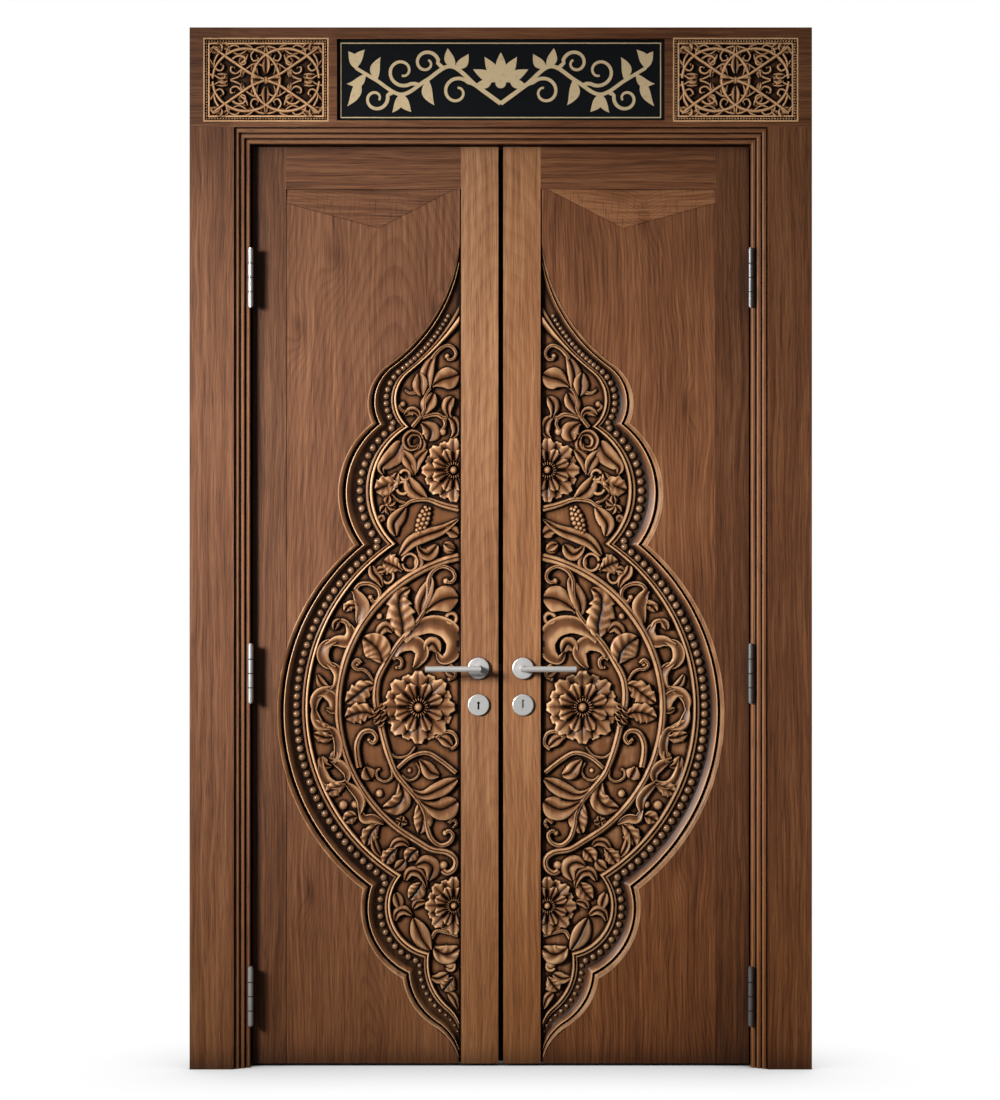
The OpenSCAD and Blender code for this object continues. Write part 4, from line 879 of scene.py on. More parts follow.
def carve_foliage(carver):
    """Flowers, stems and leaves, placed one by one."""
    c = carver
    c.rosette((17.5, 1446), 73)
    c.rosette((103, 870), 83)
    c.rosette((17, 388), 66)
    # Top lobe
    c.stem([(121, 1547), (103, 1569), (89, 1592), (89, 1615), (83, 1633), (71, 1649)], 4.5, 3.2, 15)
    c.leaf([(78, 1640), (84, 1672), (76, 1704), (62, 1726)], 25, 0.45, 15)
    c.curl([(72, 1712), (64, 1726), (48, 1742), (30, 1749), (16, 1740), (12, 1727), (19, 1716),
            (30, 1715), (33, 1723)], 4.5, 2.8, 15, 7.5)
    c.leaf([(73, 1648), (48, 1665), (25, 1671), (3, 1679)], 40, 0.62, 16)
    c.leaf([(94, 1624), (99, 1644), (99, 1665), (103, 1685)], 28, 0.5, 16)
    c.stem([(104, 1636), (122, 1633), (133, 1638), (137, 1646)], 4, 1.6, 12)
    c.curl([(112, 1580), (126, 1587), (140, 1589), (150, 1600), (141, 1606)], 3.5, 3, 13, 8.5)
    c.leaf([(90, 1578), (83, 1601), (73, 1619), (66, 1636)], 28, 0.55, 16)
    c.leaf([(99, 1568), (106, 1586), (121, 1590), (139, 1577)], 15, 0.6, 15, root=0.5)
    c.stem([(98, 1572), (76, 1579), (57, 1581), (42, 1573), (30, 1574)], 4, 4.5, 14)
    c.leaf([(27, 1569), (33, 1592), (31, 1608), (18, 1626)], 22, 0.62, 16, root=0.5)
    c.leaf([(30, 1577), (14, 1562), (11, 1538), (26, 1521)], 20, 0.45, 16, root=0.5)
    c.curl([(42, 1573), (38, 1558), (43, 1547), (44, 1540)], 4, 3, 14, 10.5)
    c.leaf([(100, 1562), (84, 1553), (72, 1537), (80, 1515)], 34, 0.6, 16)
    c.leaf([(94, 1518), (102, 1533), (121, 1535), (133, 1519), (126, 1501), (109, 1501), (104, 1514)],
           15, 0.5, 16, root=0.5)
    c.leaf([(98, 1528), (92, 1510), (100, 1494), (118, 1490)], 14, 0.5, 13)
    # Upper lobe
    c.leaf([(142, 1518), (156, 1487), (176, 1468), (193, 1451), (186, 1433)], 34, 0.35, 15.5)
    c.leaf([(112, 1430), (121, 1458), (133, 1478), (146, 1496)], 24, 0.55, 15)
    c.leaf([(112, 1436), (109, 1466), (98, 1482), (80, 1498)], 22, 0.5, 15)
    c.leaf([(150, 1412), (172, 1410), (190, 1404), (210, 1396)], 42, 0.55, 15, 4, 4)
    c.leaf([(172, 1390), (166, 1412), (160, 1426), (153, 1442)], 24, 0.5, 15, 3, 3)
    c.ring((136, 1434), 12, 3.5, 14)
    c.ring((141, 1403), 15, 3.5, 14)
    c.leaf([(80, 1374), (110, 1393), (124, 1412), (131, 1436)], 30, 0.5, 16.5)
    c.stem([(0, 1351), (44, 1362), (83, 1375), (119, 1371), (137, 1359), (154, 1355)], 6.5, 3, 15)
    c.stem([(130, 1364), (154, 1373), (170, 1391)], 3.2, 2.2, 13)
    c.tuft((180, 1361), (100, 150, 200, 250, 310), (13, 25), 15, 15.5)
    c.ball((180, 1361), 7, 17)
    c.leaf([(132, 1358), (149, 1336), (163, 1313), (157, 1283)], 28, 0.5, 16)
    c.cone((104, 1288), (81, 1354), 16)
    c.leaf([(188, 1320), (193, 1328), (201, 1334)], 16, 0.5, 13)
    c.leaf([(187, 1334), (194, 1328), (199, 1318)], 14, 0.5, 13)
    c.leaf([(150, 1236), (122, 1270), (87, 1287), (44, 1302), (2, 1330)], 24, 0.4, 16)
    c.leaf([(46, 1297), (26, 1300), (3, 1286)], 24, 0.6, 15)
    c.leaf([(108, 1276), (99, 1252), (78, 1241), (56, 1267)], 24, 0.66, 16)
    c.ball((28, 1256), 17, 15)
    c.leaf([(44, 1268), (30, 1262), (14, 1252)], 18, 0.5, 17)
    # Big lobe, upper half
    c.stem([(204, 866), (207, 902), (201, 941), (181, 980), (157, 1017), (135, 1045), (104, 1080),
            (86, 1109)], 7, 4.5, 16)
    c.leaf([(97, 1088), (98, 1116), (87, 1145), (75, 1174), (76, 1192)], 28, 0.45, 15)
    c.curl([(87, 1107), (80, 1147), (79, 1178), (67, 1201), (43, 1212), (21, 1203), (14, 1186),
            (24, 1173), (36, 1176)], 5, 3.6, 16, 8.5)
    c.leaf([(141, 1036), (142, 1072), (150, 1113), (146, 1143), (122, 1160)], 56, 0.42, 17, 6, 5)
    c.ball((198, 1091), 9, 14)
    c.leaf([(203, 1033), (196, 1055), (181, 1066), (163, 1051)], 20, 0.55, 15, root=0.4)
    c.leaf([(189, 974), (198, 1004), (215, 1024), (239, 1040)], 50, 0.52, 16.5, 5)
    c.curl([(211, 930), (225, 953), (240, 962), (252, 962), (263, 973), (252, 985), (241, 974)], 2.6, 4.2, 14)
    c.ball((252, 973), 6, 15)
    c.leaf([(208, 924), (228, 919), (249, 902), (281, 879)], 44, 0.5, 16, 5, 4)
    c.leaf([(208, 849), (228, 857), (252, 855), (283, 843)], 42, 0.52, 16, 5, 4)
    for u, z in ((192, 872), (206, 864), (189, 858), (205, 850), (190, 844), (204, 837), (195, 830)):
        c.leaf([(u + 9, z - 7), (u, z), (u - 9, z + 8)], 11, 0.5, 18)
    c.ribbon([(143, 1031), (109, 1057), (72, 1071), (34, 1060), (15, 1028), (24, 997), (46, 986), (60, 1008)],
           36, True)
    c.leaf([(52, 1000), (66, 1024), (78, 1018), (88, 1002)], 26, 0.5, 15)
    c.ribbon([(164, 992), (143, 1018), (113, 1025), (95, 1004), (106, 977), (118, 963)], 28, True)
    c.curl([(168, 984), (156, 992), (144, 984), (146, 968), (156, 966)], 4, 3.2, 13.5, 4.5)
    c.leaf([(90, 1099), (62, 1122), (34, 1134), (4, 1136)], 48, 0.66, 16.5)
    c.ring((23, 1086), 12.5, 4.5, 14)
    c.curl([(31, 975), (15, 962), (14, 946), (28, 938)], 4, 3.2, 13, 6)
    c.leaf([(40, 960), (26, 954), (12, 944)], 15, 0.5, 13)
    # Big lobe, lower half
    c.stem([(196, 832), (189, 800), (176, 755), (157, 709), (130, 675), (102, 641), (87, 610), (83, 580)],
           6.5, 4.5, 16)
    c.curl([(86, 600), (82, 578), (72, 551), (50, 534), (28, 541), (19, 559), (29, 570), (38, 564)],
           5.5, 3.6, 16, 7.5)
    c.stem([(178, 765), (157, 748), (128, 753), (109, 777)], 2.6, 2, 12)
    c.curl([(62, 792), (41, 810), (17, 806), (9, 782), (26, 766)], 4, 3.5, 14)
    c.leaf([(60, 800), (40, 792), (18, 772)], 20, 0.5, 14)
    c.curl([(246, 720), (252, 752), (252, 782), (239, 808), (217, 812), (205, 797), (213, 783), (223, 791)],
           6.5, 4, 16, 6)
    c.stem([(157, 719), (123, 748), (85, 759), (51, 742), (8, 708)], 4, 4.5, 15)
    c.stem([(147, 706), (128, 692), (108, 699), (100, 719), (112, 738)], 2.6, 2.2, 12)
    c.leaf([(103, 745), (85, 727), (72, 711), (50, 704)], 26, 0.58, 15.5)
    c.leaf([(133, 680), (96, 657), (58, 668), (6, 697)], 28, 0.66, 15.5)
    c.leaf([(113, 655), (79, 630), (45, 622), (6, 643)], 42, 0.72, 16.5)
    c.leaf([(150, 690), (140, 655), (157, 630), (193, 624)], 36, 0.55, 16, 4)
    c.leaf([(232, 728), (227, 713), (217, 694)], 28, 0.6, 16)
    c.curl([(169, 722), (167, 701), (184, 689), (203, 699), (204, 716), (193, 720)], 2.8, 2.4, 13)
    c.ball((198, 660), 10.5, 15)
    c.ball((125, 716), 6, 11)
    c.tuft((145, 592), (20, 100, 190, 280), (8, 16), 11, 14)
    c.leaf([(103, 640), (91, 607), (94, 583), (102, 561)], 36, 0.5, 16, 4)
    c.curl([(32, 586), (19, 597), (10, 588), (18, 578)], 4, 3, 13, 4)
    # Second rim with its scroll
    rim = [Vector((-75, 871)) + pointing(math.radians(turn)) * 373 for turn in range(80, -67, -7)]
    c.stem(rim + [(72, 525), (34, 518), (13, 501), (16, 478), (34, 467), (48, 478)], 8, 5.5, 17.5, 6.0)
    c.ball((42, 485), 12, 16)
    # Vine in the band outside it
    c.leaf([(141, 1200), (160, 1212), (190, 1224)], 42, 0.66, 15.5, 5, 5)
    c.ring((124, 1222), 19, 3.2, 14, 1.1)
    c.leaf([(113, 1198), (102, 1218), (108, 1244)], 18, 0.5, 14)
    c.leaf([(217, 1217), (212, 1196), (198, 1180), (190, 1158)], 19, 0.4, 16)
    c.leaf([(206, 1196), (196, 1204), (180, 1204)], 14, 0.5, 15)
    c.ring((178, 1188), 14, 3.0, 12, 1.2)
    c.curl([(259, 1152), (246, 1168), (222, 1170), (201, 1158), (197, 1137), (210, 1125), (220, 1136)],
           4.5, 4, 15, 8)
    c.ribbon([(261, 1158), (246, 1133), (239, 1109), (252, 1070)], 26)
    c.leaf([(248, 1115), (269, 1117), (283, 1101)], 22, 0.55, 15, 3, 3)
    c.ribbon([(320, 908), (303, 922), (296, 946), (307, 966), (331, 981)], 19)
    c.ribbon([(303, 962), (327, 977), (336, 997), (327, 1021), (298, 1032)], 22, True)
    c.ribbon([(331, 1018), (303, 1031), (276, 1031), (267, 1053), (281, 1080)], 22)
    c.curl([(270, 1060), (278, 1076), (293, 1080), (302, 1070)], 5, 4, 15, 10)
    c.leaf([(290, 1084), (302, 1074), (308, 1056)], 15, 0.5, 18)
    c.leaf([(314, 912), (338, 926), (350, 952)], 16, 0.5, 14)
    c.ribbon([(306, 919), (340, 907), (356, 885), (356, 853)], 18, True)
    c.ribbon([(358, 874), (355, 850), (343, 827), (310, 818)], 18, True)
    c.ribbon([(332, 822), (308, 812), (297, 782), (300, 752), (314, 728)], 18)
    c.ribbon([(352, 899), (329, 903), (309, 888), (309, 864), (330, 868)], 21, True)
    c.leaf([(310, 818), (334, 817), (360, 840)], 24, 0.55, 15.5, 3, 3)
    c.leaf([(304, 799), (327, 796), (360, 806)], 24, 0.55, 15.5, 3, 3)
    c.leaf([(311, 726), (332, 730), (342, 752)], 22, 0.6, 16)
    c.leaf([(320, 738), (308, 748), (303, 768)], 18, 0.5, 15)
    c.ribbon([(324, 746), (293, 731), (275, 709), (280, 682)], 18)
    c.ribbon([(274, 692), (303, 681), (325, 692), (337, 719), (338, 752)], 18, True)
    c.leaf([(276, 683), (300, 675), (330, 661)], 32, 0.62, 16, 4, 4)
    c.ribbon([(286, 692), (256, 666), (242, 641), (247, 606)], 18)
    c.ribbon([(247, 624), (236, 599), (212, 599), (184, 585)], 17, True)
    c.ball((286, 631), 13, 15)
    c.ball((257, 633), 11, 14)
    c.leaf([(250, 606), (268, 602), (286, 590)], 26, 0.5, 16, 3)
    c.leaf([(196, 590), (218, 566), (231, 532)], 34, 0.6, 15.5, 4, 4)
    c.leaf([(214, 562), (208, 529), (190, 503)], 14, 0.5, 15, root=0.5)
    c.leaf([(154, 530), (171, 512), (187, 487)], 32, 0.6, 15.5, 4, 4)
    c.leaf([(175, 518), (158, 540), (138, 543), (124, 530)], 16, 0.55, 15, root=0.4)
    c.leaf([(104, 526), (120, 512), (132, 494)], 28, 0.5, 16, 3)
    c.leaf([(134, 500), (147, 484), (162, 474)], 22, 0.5, 14)
    c.leaf([(112, 484), (86, 493), (68, 478), (80, 446)], 30, 0.5, 16)
    c.leaf([(137, 447), (124, 470), (102, 469), (88, 450), (84, 428)], 18, 0.4, 16, root=0.4)
    # Lower lobe
    c.leaf([(94, 446), (106, 424), (126, 402)], 32, 0.5, 15.5, 4)
    c.leaf([(160, 422), (152, 399), (147, 377)], 20, 0.5, 14)
    c.leaf([(162, 348), (155, 370), (137, 377), (116, 363)], 17, 0.5, 15.5, root=0.4)
    c.leaf([(118, 378), (106, 395), (84, 397)], 15, 0.5, 14, root=0.4)
    c.leaf([(72, 277), (92, 304), (104, 330), (116, 360)], 34, 0.5, 16)
    c.leaf([(68, 288), (47, 272), (27, 271), (2, 288)], 34, 0.5, 16.5, 3)
    c.stem([(74, 304), (60, 326), (37, 323), (3, 313)], 4, 3, 14)
    # Foot
    c.ball((25, 246), 14, 16)
    c.ring((25, 240), 10, 3.5, 13)
    c.leaf([(75, 215), (53, 211), (29, 224)], 20, 0.55, 15)
    c.leaf([(18, 216), (30, 197), (44, 181)], 34, 0.6, 15.5, 4, 4)
    c.leaf([(32, 178), (16, 162), (6, 134)], 16, 0.4, 14)


# Helpers for the operators
def painted(names, material):
    """Give CAD nodes a finish."""
    for name in names:
        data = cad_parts[name].data
        data.materials.clear()
        data.materials.append(material)


def both(*names):
    return [side + name for side in ("left_", "right_") for name in names]


def shades(tones, wood):
    """The dark, middle and light colour of a wood."""
    return [tuple(getattr(tones, wood + "_" + depth)) for depth in ("dark", "mid", "light")]


def leaf_spot(sizes):
    """Turns millimetres of the carving into a place on the right leaf."""
    def spot(across, up, height):
        return Vector((sizes.stile_edge + across / 1000, sizes.floor_y - height / 1000, up / 1000))
    return spot


def set_on(piece, body, slot, *nodes):
    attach(piece, body)
    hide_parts(*nodes)


class DOOR_OT_boards(bpy.types.Operator):
    """Give casings, jambs, stiles, rails and panels their walnut"""
    bl_idname = "door.boards"
    bl_label = "Finish the boards"

    def execute(self, context):
        tones = context.scene.door_finish
        wood = shades(tones, "walnut")
        pale = shades(tones, "stile")
        deep = [scaled(shade, 0.82) for shade in wood]
        # Painted light: the right panel's walnut is 1.16 times lighter, evening out the key light's falloff
        # towards the right
        lit_right = [scaled(shade, 1.16) for shade in wood]
        boards = (
            (both("casing"), "casing_walnut", "z", wood, 0.37, False),
            (both("jamb"), "jamb_walnut", "z", wood, 1.4, True),
            (["head_jamb"], "head_walnut", "x", wood, 2.9, True),
            (["lintel_board"], "lintel_walnut", "x", wood, 2.3, False),
            (both("hinge_stile"), "hinge_stile_walnut", "z", deep, 0.81, False),
            (both("top_rail"), "rail_walnut", "x", wood, 6.2, False),
            (both("meeting_stile"), "meeting_stile_walnut", "z", pale, 0.12, False))
        for nodes, name, along, colours, shift, bands in boards:
            painted(nodes, walnut(name, along, colours, shift, 130.0, STRAIGHT, bands=bands))
        # The facets' valley, and the outer and inner end of their upper edge
        slopes = ((0.2975, 2.033), (0.521, 2.094), (0.1115, 2.128))
        # Knots: across, up, size
        left = ((-0.485, 1.79, 0.03), (-0.40, 1.96, 0.035), (-0.16, 1.83, 0.03), (-0.46, 0.42, 0.03),
                (-0.18, 0.2, 0.03))
        right = ((0.35, 2.05, 0.035), (0.45, 1.60, 0.03), (0.19, 1.76, 0.035), (0.43, 0.5, 0.03),
                 (0.2, 0.15, 0.03))
        painted(["left_panel"], walnut("left_panel_walnut", "z", wood, 2.2, knots=left, slopes=slopes))
        painted(["right_panel"], walnut("right_panel_walnut", "z", lit_right, 7.9, weights=LIVELY, knots=right,
                                        slopes=slopes))
        return {"FINISHED"}


class DOOR_OT_metal(bpy.types.Operator):
    """Give hinges, levers, roses, plates, bolts and the draught brush their finish"""
    bl_idname = "door.metal"
    bl_label = "Finish the metal"

    def execute(self, context):
        tone = tuple(context.scene.door_finish.metal)
        dull = scaled(tone, 0.9)
        upright = satin_steel("satin_steel_upright", dull, "z")
        level = satin_steel("satin_steel_level", dull)
        # Near-black steel for the lock's inner parts, the bolts and the keep: painted shade where they sit in
        # gaps and behind the keyhole
        inside = satin_steel("dark_steel", scaled(tone, 0.05), "z")
        joints = [centre + step for centre in HINGE_CENTRES for step in (-KNUCKLE, 0.0, KNUCKLE)]
        # Painted light: the same steel is lighter on the left hinges and darker on the right ones
        for side, share in (("left_", 0.6), ("right_", 0.22)):
            steel = satin_steel(side + "hinge_steel", scaled(tone, share), "z", joints)
            painted([side + part for part in ("frame_hinges", "hinge_pins", "leaf_hinges")], steel)
        painted(["lock_case", "latch_bolt", "dead_bolt", "head_keep", "top_flush_bolt", "bottom_flush_bolt"],
                inside)
        painted(["lock_forend", "strike_plate", "top_flush_plate", "bottom_flush_plate"], upright)
        painted(both("front_rose", "back_rose", "front_lever", "back_lever", "spindle"), level)
        painted(["left_front_keyplate", "left_back_keyplate"], level)
        painted(["right_front_keyplate", "right_back_keyplate"],
                satin_steel("blind_keyplate_steel", dull, keyhole=BLIND_KEYHOLE))
        painted(["meeting_brush"], brush_pile("draught_brush_fibre"))
        return {"FINISHED"}


class DOOR_OT_lock_levers(bpy.types.Operator):
    """Set the notched lever plates that stand behind the keyhole"""
    bl_idname = "door.lock_levers"
    bl_label = "Set the lock levers"

    def execute(self, context):
        # The lever plates are near black: painted shade behind the keyhole
        metal = scaled(context.scene.door_finish.metal, 0.04)
        lower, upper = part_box("left_front_keyplate")
        middle = Vector(((lower[0] + upper[0]) / 2, 0.0, (lower[2] + upper[2]) / 2))
        mesh = bmesh.new()
        for k in (-1, 0, 1):
            plate = bmesh.ops.create_cube(mesh, size=1.0)["verts"]
            bmesh.ops.scale(mesh, verts=plate, vec=LEVER_PLATE)
            bmesh.ops.translate(mesh, verts=plate, vec=middle + LEVER_STEP * k)
        bmesh.ops.bevel(mesh, geom=mesh.edges[:], offset=0.0005, offset_type="OFFSET", affect="EDGES",
                        segments=2, profile=0.5, material=-1)
        made = linked("lock_levers", mesh, satin_steel("oiled_steel", metal, "z"))
        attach(made, "left_leaf")
        return {"FINISHED"}


class DOOR_OT_centre_panel(bpy.types.Operator):
    """Lacquer the dark lintel panel and gild its vine and line"""
    bl_idname = "door.centre_panel"
    bl_label = "Finish the centre panel"

    def execute(self, context):
        tones = context.scene.door_finish
        painted(["centre_panel"], dark_lacquer("blue_black_lacquer", tuple(tones.lacquer)))
        painted(["gilt_fillet", "gilt_scrollwork"], gilt_leaf("worn_gilding", tuple(tones.gilding)))
        return {"FINISHED"}


class DOOR_OT_medallions(bpy.types.Operator):
    """Carve the two halves of the medallion"""
    bl_idname = "door.medallions"
    bl_label = "Carve the medallions"

    def execute(self, context):
        sizes = context.scene.door_carving
        edge = sizes.dark_line * 1000
        spot = leaf_spot(sizes)
        carver = Carver(spot, sizes.ground * 1000)
        carve_foliage(carver)
        carve_border(carver)
        carve_ground(carver, edge)
        cuts = ((spot(edge, 0, 0), (-1, 0, 0)), (Vector((0, 0, LEAF_FOOT)), (0, 0, -1)))
        for point, away in cuts:
            whole = carver.mesh.verts[:] + carver.mesh.edges[:] + carver.mesh.faces[:]
            bmesh.ops.bisect_plane(carver.mesh, geom=whole, plane_co=point, plane_no=away, clear_outer=True)
        # Painted shade along the straight side, beside the meeting stile
        shade_strip_to = sizes.stile_edge + sizes.dark_line + EDGE_SHADE
        for vert in carver.mesh.verts:
            if vert.co.x < shade_strip_to:
                vert[carver.tone] = STRIP_SHADE_TONE
        wood = carved_wood("carved_walnut", shades(context.scene.door_finish, "carve"))
        set_on(carver.finished("medallion_right", wood), "right_leaf", "carved_walnut", "right_carving")
        set_on(carver.finished("medallion_left", wood, True), "left_leaf", "carved_walnut", "left_carving")
        carver.mesh.free()
        return {"FINISHED"}


class DOOR_OT_beads(bpy.types.Operator):
    """Set the row of beads in the border's channel"""
    bl_idname = "door.beads"
    bl_label = "Set the beads"

    def execute(self, context):
        carver = Carver(leaf_spot(context.scene.door_carving), BEAD_FLOOR)
        for i, (count, first, last) in enumerate(BEADS):
            for k in range(count):
                part = (k + 0.5) / count
                part = TIP_FREE + (1 - TIP_FREE) * part if i == 0 else part
                radius = first + (last - first) * part
                centre = border_spot(i, part, BEAD_CROSS)
                if centre.x > radius + SIDE_GAP and centre.y > radius + FOOT_GAP:
                    carver.bead(centre, radius, BEAD_FLOOR, radius * 0.95)
        rich = [scaled(shade, 0.55) for shade in shades(context.scene.door_finish, "carve")]
        wood = carved_wood("bead_walnut", rich, 0.24, 0.55, 0.5)
        set_on(carver.finished("bead_row_right", wood), "right_leaf", "bead_walnut", "right_beads")
        set_on(carver.finished("bead_row_left", wood, True), "left_leaf", "bead_walnut", "left_beads")
        carver.mesh.free()
        return {"FINISHED"}


class DOOR_OT_lintel_carvings(bpy.types.Operator):
    """Carve the two strapwork panels of the lintel"""
    bl_idname = "door.lintel_carvings"
    bl_label = "Carve the lintel panels"

    def execute(self, context):
        wood = carved_wood("lintel_carved_walnut", shades(context.scene.door_finish, "carve"), 0.4, 0.71)
        lower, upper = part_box("right_lintel_carving")
        middle = ((lower[0] + upper[0]) / 2, (lower[2] + upper[2]) / 2)
        half = ((upper[0] - lower[0]) * 500, (upper[2] - lower[2]) * 500)
        back = upper[1]

        def spot(across, up, height):
            return Vector((middle[0] + across / 1000, back - height / 1000, middle[1] + up / 1000))
        carver = Carver(spot, 5.0)
        self.frame_work(carver, half)
        for a in (-1, 1):
            carver.turn = (a, 1)
            carver.ring((48, 0), 81, 3.4, 14.5, 0.93)
            carver.leaf([(10, 0), (24, 0), (40, 0)], 16, 0.5, 15)
            carver.leaf([(118, 0), (104, 0), (90, 0)], 16, 0.5, 14)
            for b in (-1, 1):
                carver.turn = (a, b)
                self.quarter(carver)
        carver.turn = (1, 1)
        for b in (-1, 1):
            carver.leaf([(0, 12 * b), (0, 34 * b), (0, 60 * b)], 16, 0.5, 14)
        carver.ball((0, 0), 10, 16)
        set_on(carver.finished("strapwork_right", wood), "frame", "carved_walnut", "right_lintel_carving")
        set_on(carver.finished("strapwork_left", wood, True), "frame", "carved_walnut", "left_lintel_carving")
        carver.mesh.free()
        return {"FINISHED"}

    def quarter(self, carver):
        """One quarter of the interlace, mirrored four ways."""
        # Scrolls: line, width at both ends, height, size of the eye
        scrolls = (
            ([(112, 67), (123, 48), (124, 30), (110, 22), (102, 32), (108, 38)], 3.0, 2.4, 14, 3.6),
            ([(84, 48), (68, 58), (52, 54), (50, 40), (60, 36), (63, 43)], 3.0, 2.4, 14, 3.6),
            ([(96, 57), (92, 76), (74, 84), (64, 76), (70, 70)], 2.6, 2.2, 13, 3.2),
            ([(56, 29), (70, 16), (84, 20), (84, 31), (76, 30)], 2.6, 2.2, 13, 3.2),
            ([(0, 82), (22, 76), (36, 60), (30, 46), (18, 50), (22, 58)], 2.6, 2.2, 13.5, 3.2),
            ([(140, 14), (122, 10), (108, 2), (98, 8), (104, 15)], 2.6, 2.2, 13.5, 3.2))
        # Leaves: line, width, height
        leaves = (
            ([(108, 66), (122, 72), (137, 68)], 14, 14),
            ([(110, 66), (112, 80), (120, 89)], 14, 14),
            ([(70, 38), (56, 50), (44, 66)], 14, 13),
            ([(88, 12), (104, 8), (122, 12)], 13, 13),
            ([(10, 54), (8, 70), (3, 86)], 11, 13),
            ([(34, 14), (30, 28), (32, 42)], 12, 13),
            ([(30, 66), (40, 76), (54, 84)], 12, 12.5),
            ([(18, 8), (26, 20), (22, 34)], 10, 12.5),
            ([(124, 30), (134, 38), (138, 52)], 11, 12.5),
            ([(46, 28), (56, 18), (58, 4)], 9, 13.5),
            ([(86, 70), (98, 82), (112, 88)], 9, 13.0))
        # Bands: line, width at both ends, height
        bands = (
            ([(132, 84), (110, 66), (70, 38), (34, 14), (0, 0)], 3.2, 3.2, 15),
            ([(140, 60), (118, 80), (86, 70), (62, 62), (34, 84)], 2.4, 2.2, 12.5),
            ([(0, 30), (24, 40), (46, 28), (66, 8), (90, 0)], 2.4, 2.2, 12.5))
        for scroll in scrolls:
            carver.curl(*scroll, False)
        for line, width, height in leaves:
            carver.leaf(line, width, 0.5, height)
        for band in bands:
            carver.stem(*band, 5.0, False)

    def frame_work(self, carver, half):
        """The stepped frame with its row of small beads, and the ground inside it."""
        wide, tall = half
        # Section of the frame: inset, height, tone; the tone is painted highlight on its ridges and painted
        # shade in its channel and at its feet
        section = [(0.0, 0.0, -0.9), (0.0, 17.0, 0.2), (1.5, 17.0, 0.4), (3.5, 16.4, 0.3), (3.8, 10.0, -0.9),
                   (11.2, 10.0, -0.9), (11.4, 15.0, 0.5), (14.0, 15.4, 0.6), (15.5, 14.6, 0.1),
                   (16.2, 6.0, -1.0)]
        corners = [(-1, -1), (1, -1), (1, 1), (-1, 1), (-1, -1)]

        def form(i, j):
            inset, height, tone = section[j]
            return corners[i][0] * (wide - inset), corners[i][1] * (tall - inset), height, tone
        carver.sheet(4, len(section) - 1, form)
        inner = (wide - STRAP_FRAME, tall - STRAP_FRAME)
        carver.sheet(40, 26, lambda i, j: ((i / 20 - 1) * inner[0], (j / 13 - 1) * inner[1], 6.0, -0.75))
        run = (wide - STRAP_BEAD_ROW, tall - STRAP_BEAD_ROW)
        level = [(k / 21, side) for k in range(-21, 22) for side in (-1, 1)]
        upright = [(side, k / 14) for k in range(-13, 14) for side in (-1, 1)]
        for a, b in level + upright:
            carver.bead((run[0] * a, run[1] * b), **STRAP_BEAD)


WHITE = (1.0, 1.0, 1.0, 1.0)
CAMERA_SHIFT = -0.0007


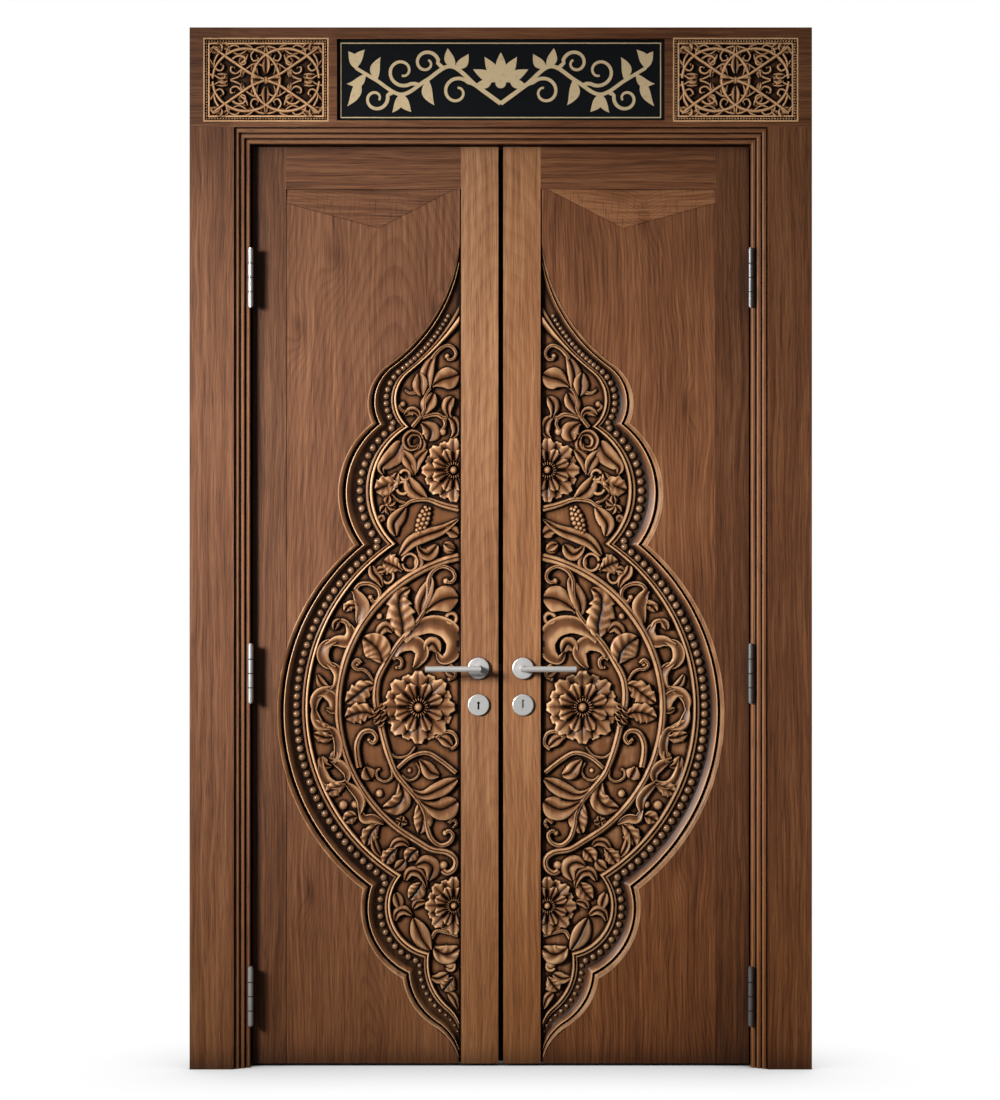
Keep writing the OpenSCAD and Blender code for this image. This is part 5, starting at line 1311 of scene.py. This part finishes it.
class DOOR_OT_stage(bpy.types.Operator):
    """Set up floor, light, background and camera"""
    bl_idname = "door.stage"
    bl_label = "Set the stage"

    def execute(self, context):
        scene = context.scene
        setup = scene.door_stage
        scene.view_settings.view_transform = "Standard"
        self.floor()
        self.sky(scene, setup.sky)
        # Lamps: place, aim, size, power and spread in degrees
        self.lamp("key_light", (-3.4, -3.1, 2.2), (-0.18, 0.0, 1.24), 1.1, setup.key_power, 46)
        self.lamp("back_light", (1.6, 4.6, 3.2), (0.0, 0.0, 1.2), 3.0, setup.back_power, 180)
        eye = bpy.data.cameras.new("photo_camera")
        eye.lens = setup.lens
        eye.shift_x = CAMERA_SHIFT
        camera = bpy.data.objects.new("photo_camera", eye)
        camera.location = (0.0, setup.camera_y, setup.camera_z)
        camera.rotation_euler = (math.pi / 2, 0.0, 0.0)
        scene.collection.objects.link(camera)
        scene.camera = camera
        return {"FINISHED"}

    def floor(self):
        """A pale floor that shows as white and darkens only near the door, in a painted shadow that is darker
        behind the door.
        """
        finish = Finish("pale_floor")
        shade = finish.blend(finish.noise(3.0), (0.22, 0.22, 0.22, 1.0), (0.25, 0.25, 0.25, 1.0))
        matt = finish.node("ShaderNodeBsdfDiffuse", {}, {"Color": shade})
        glow = finish.node("ShaderNodeEmission", {}, {"Color": WHITE, "Strength": 1.0})
        seen = finish.node("ShaderNodeLightPath", {}, {}, "Is Camera Ray")
        # Painted shadow: near the door the white glow gives way to the matt floor, which takes real shade,
        # and behind the door it gives way further
        open_air = finish.openness(8, 0.35)
        x, y, _ = finish.axes()
        behind = y.over(0.0, 0.01) * (1.0 - abs(x).over(0.45, 0.6))
        shadow = 1.0 - behind * (1.0 - open_air.over(0.62, 0.85))
        share = seen * (open_air ** 0.72) * open_air.over(0.24, 0.46) * shadow
        finish.output(finish.node("ShaderNodeMixShader", {}, {0: share, 1: matt, 2: glow}))
        mesh = bmesh.new()
        bmesh.ops.create_grid(mesh, x_segments=4, y_segments=4, size=9.0)
        linked("studio_floor", mesh, finish.block)

    def sky(self, scene, strength):
        """Soft light all round, seen as white and only faintly mirrored."""
        finish = Finish("studio_white", bpy.data.worlds)
        seen = finish.node("ShaderNodeLightPath", {}, {}, "Is Camera Ray")
        mirrored = Value(finish, seen.socket.node.outputs["Is Glossy Ray"])
        level = finish.node("ShaderNodeMapRange", {},
                            {"Value": mirrored * 0.05 + seen, "To Min": strength, "To Max": 1.0})
        white = finish.node("ShaderNodeBackground", {}, {"Color": WHITE, "Strength": level})
        finish.output(white, "ShaderNodeOutputWorld")
        scene.world = finish.block

    def lamp(self, name, place, aim, size, power, spread):
        light = bpy.data.lights.new(name, "AREA")
        light.spread = math.radians(spread)
        light.size = size
        light.energy = power
        made = bpy.data.objects.new(name, light)
        made.location = place
        made.rotation_euler = (Vector(aim) - Vector(place)).to_track_quat("-Z", "Y").to_euler()
        bpy.context.scene.collection.objects.link(made)


STEPS = (DOOR_OT_boards, DOOR_OT_metal, DOOR_OT_lock_levers, DOOR_OT_centre_panel, DOOR_OT_medallions,
         DOOR_OT_beads, DOOR_OT_lintel_carvings, DOOR_OT_stage)


class DOOR_PT_panel(bpy.types.Panel):
    """Lists the steps that dress the door"""
    bl_idname = "DOOR_PT_panel"
    bl_label = "Carved door"
    bl_space_type = "VIEW_3D"
    bl_region_type = "UI"
    bl_category = "Door"

    def draw(self, context):
        for step in STEPS:
            self.layout.operator(step.bl_idname)


CLASSES = (DoorFinish, DoorCarving, DoorStage) + STEPS + (DOOR_PT_panel,)


def register():
    for item in CLASSES:
        bpy.utils.register_class(item)
    bpy.types.Scene.door_finish = bpy.props.PointerProperty(type=DoorFinish)
    bpy.types.Scene.door_carving = bpy.props.PointerProperty(type=DoorCarving)
    bpy.types.Scene.door_stage = bpy.props.PointerProperty(type=DoorStage)


def unregister():
    del bpy.types.Scene.door_stage
    del bpy.types.Scene.door_carving
    del bpy.types.Scene.door_finish
    for item in reversed(CLASSES):
        bpy.utils.unregister_class(item)


def main():
    register()
    bpy.ops.door.boards()
    bpy.ops.door.metal()
    bpy.ops.door.lock_levers()
    bpy.ops.door.centre_panel()
    bpy.ops.door.medallions()
    bpy.ops.door.beads()
    bpy.ops.door.lintel_carvings()
    bpy.ops.door.stage()


if __name__ == "__main__":
    main()
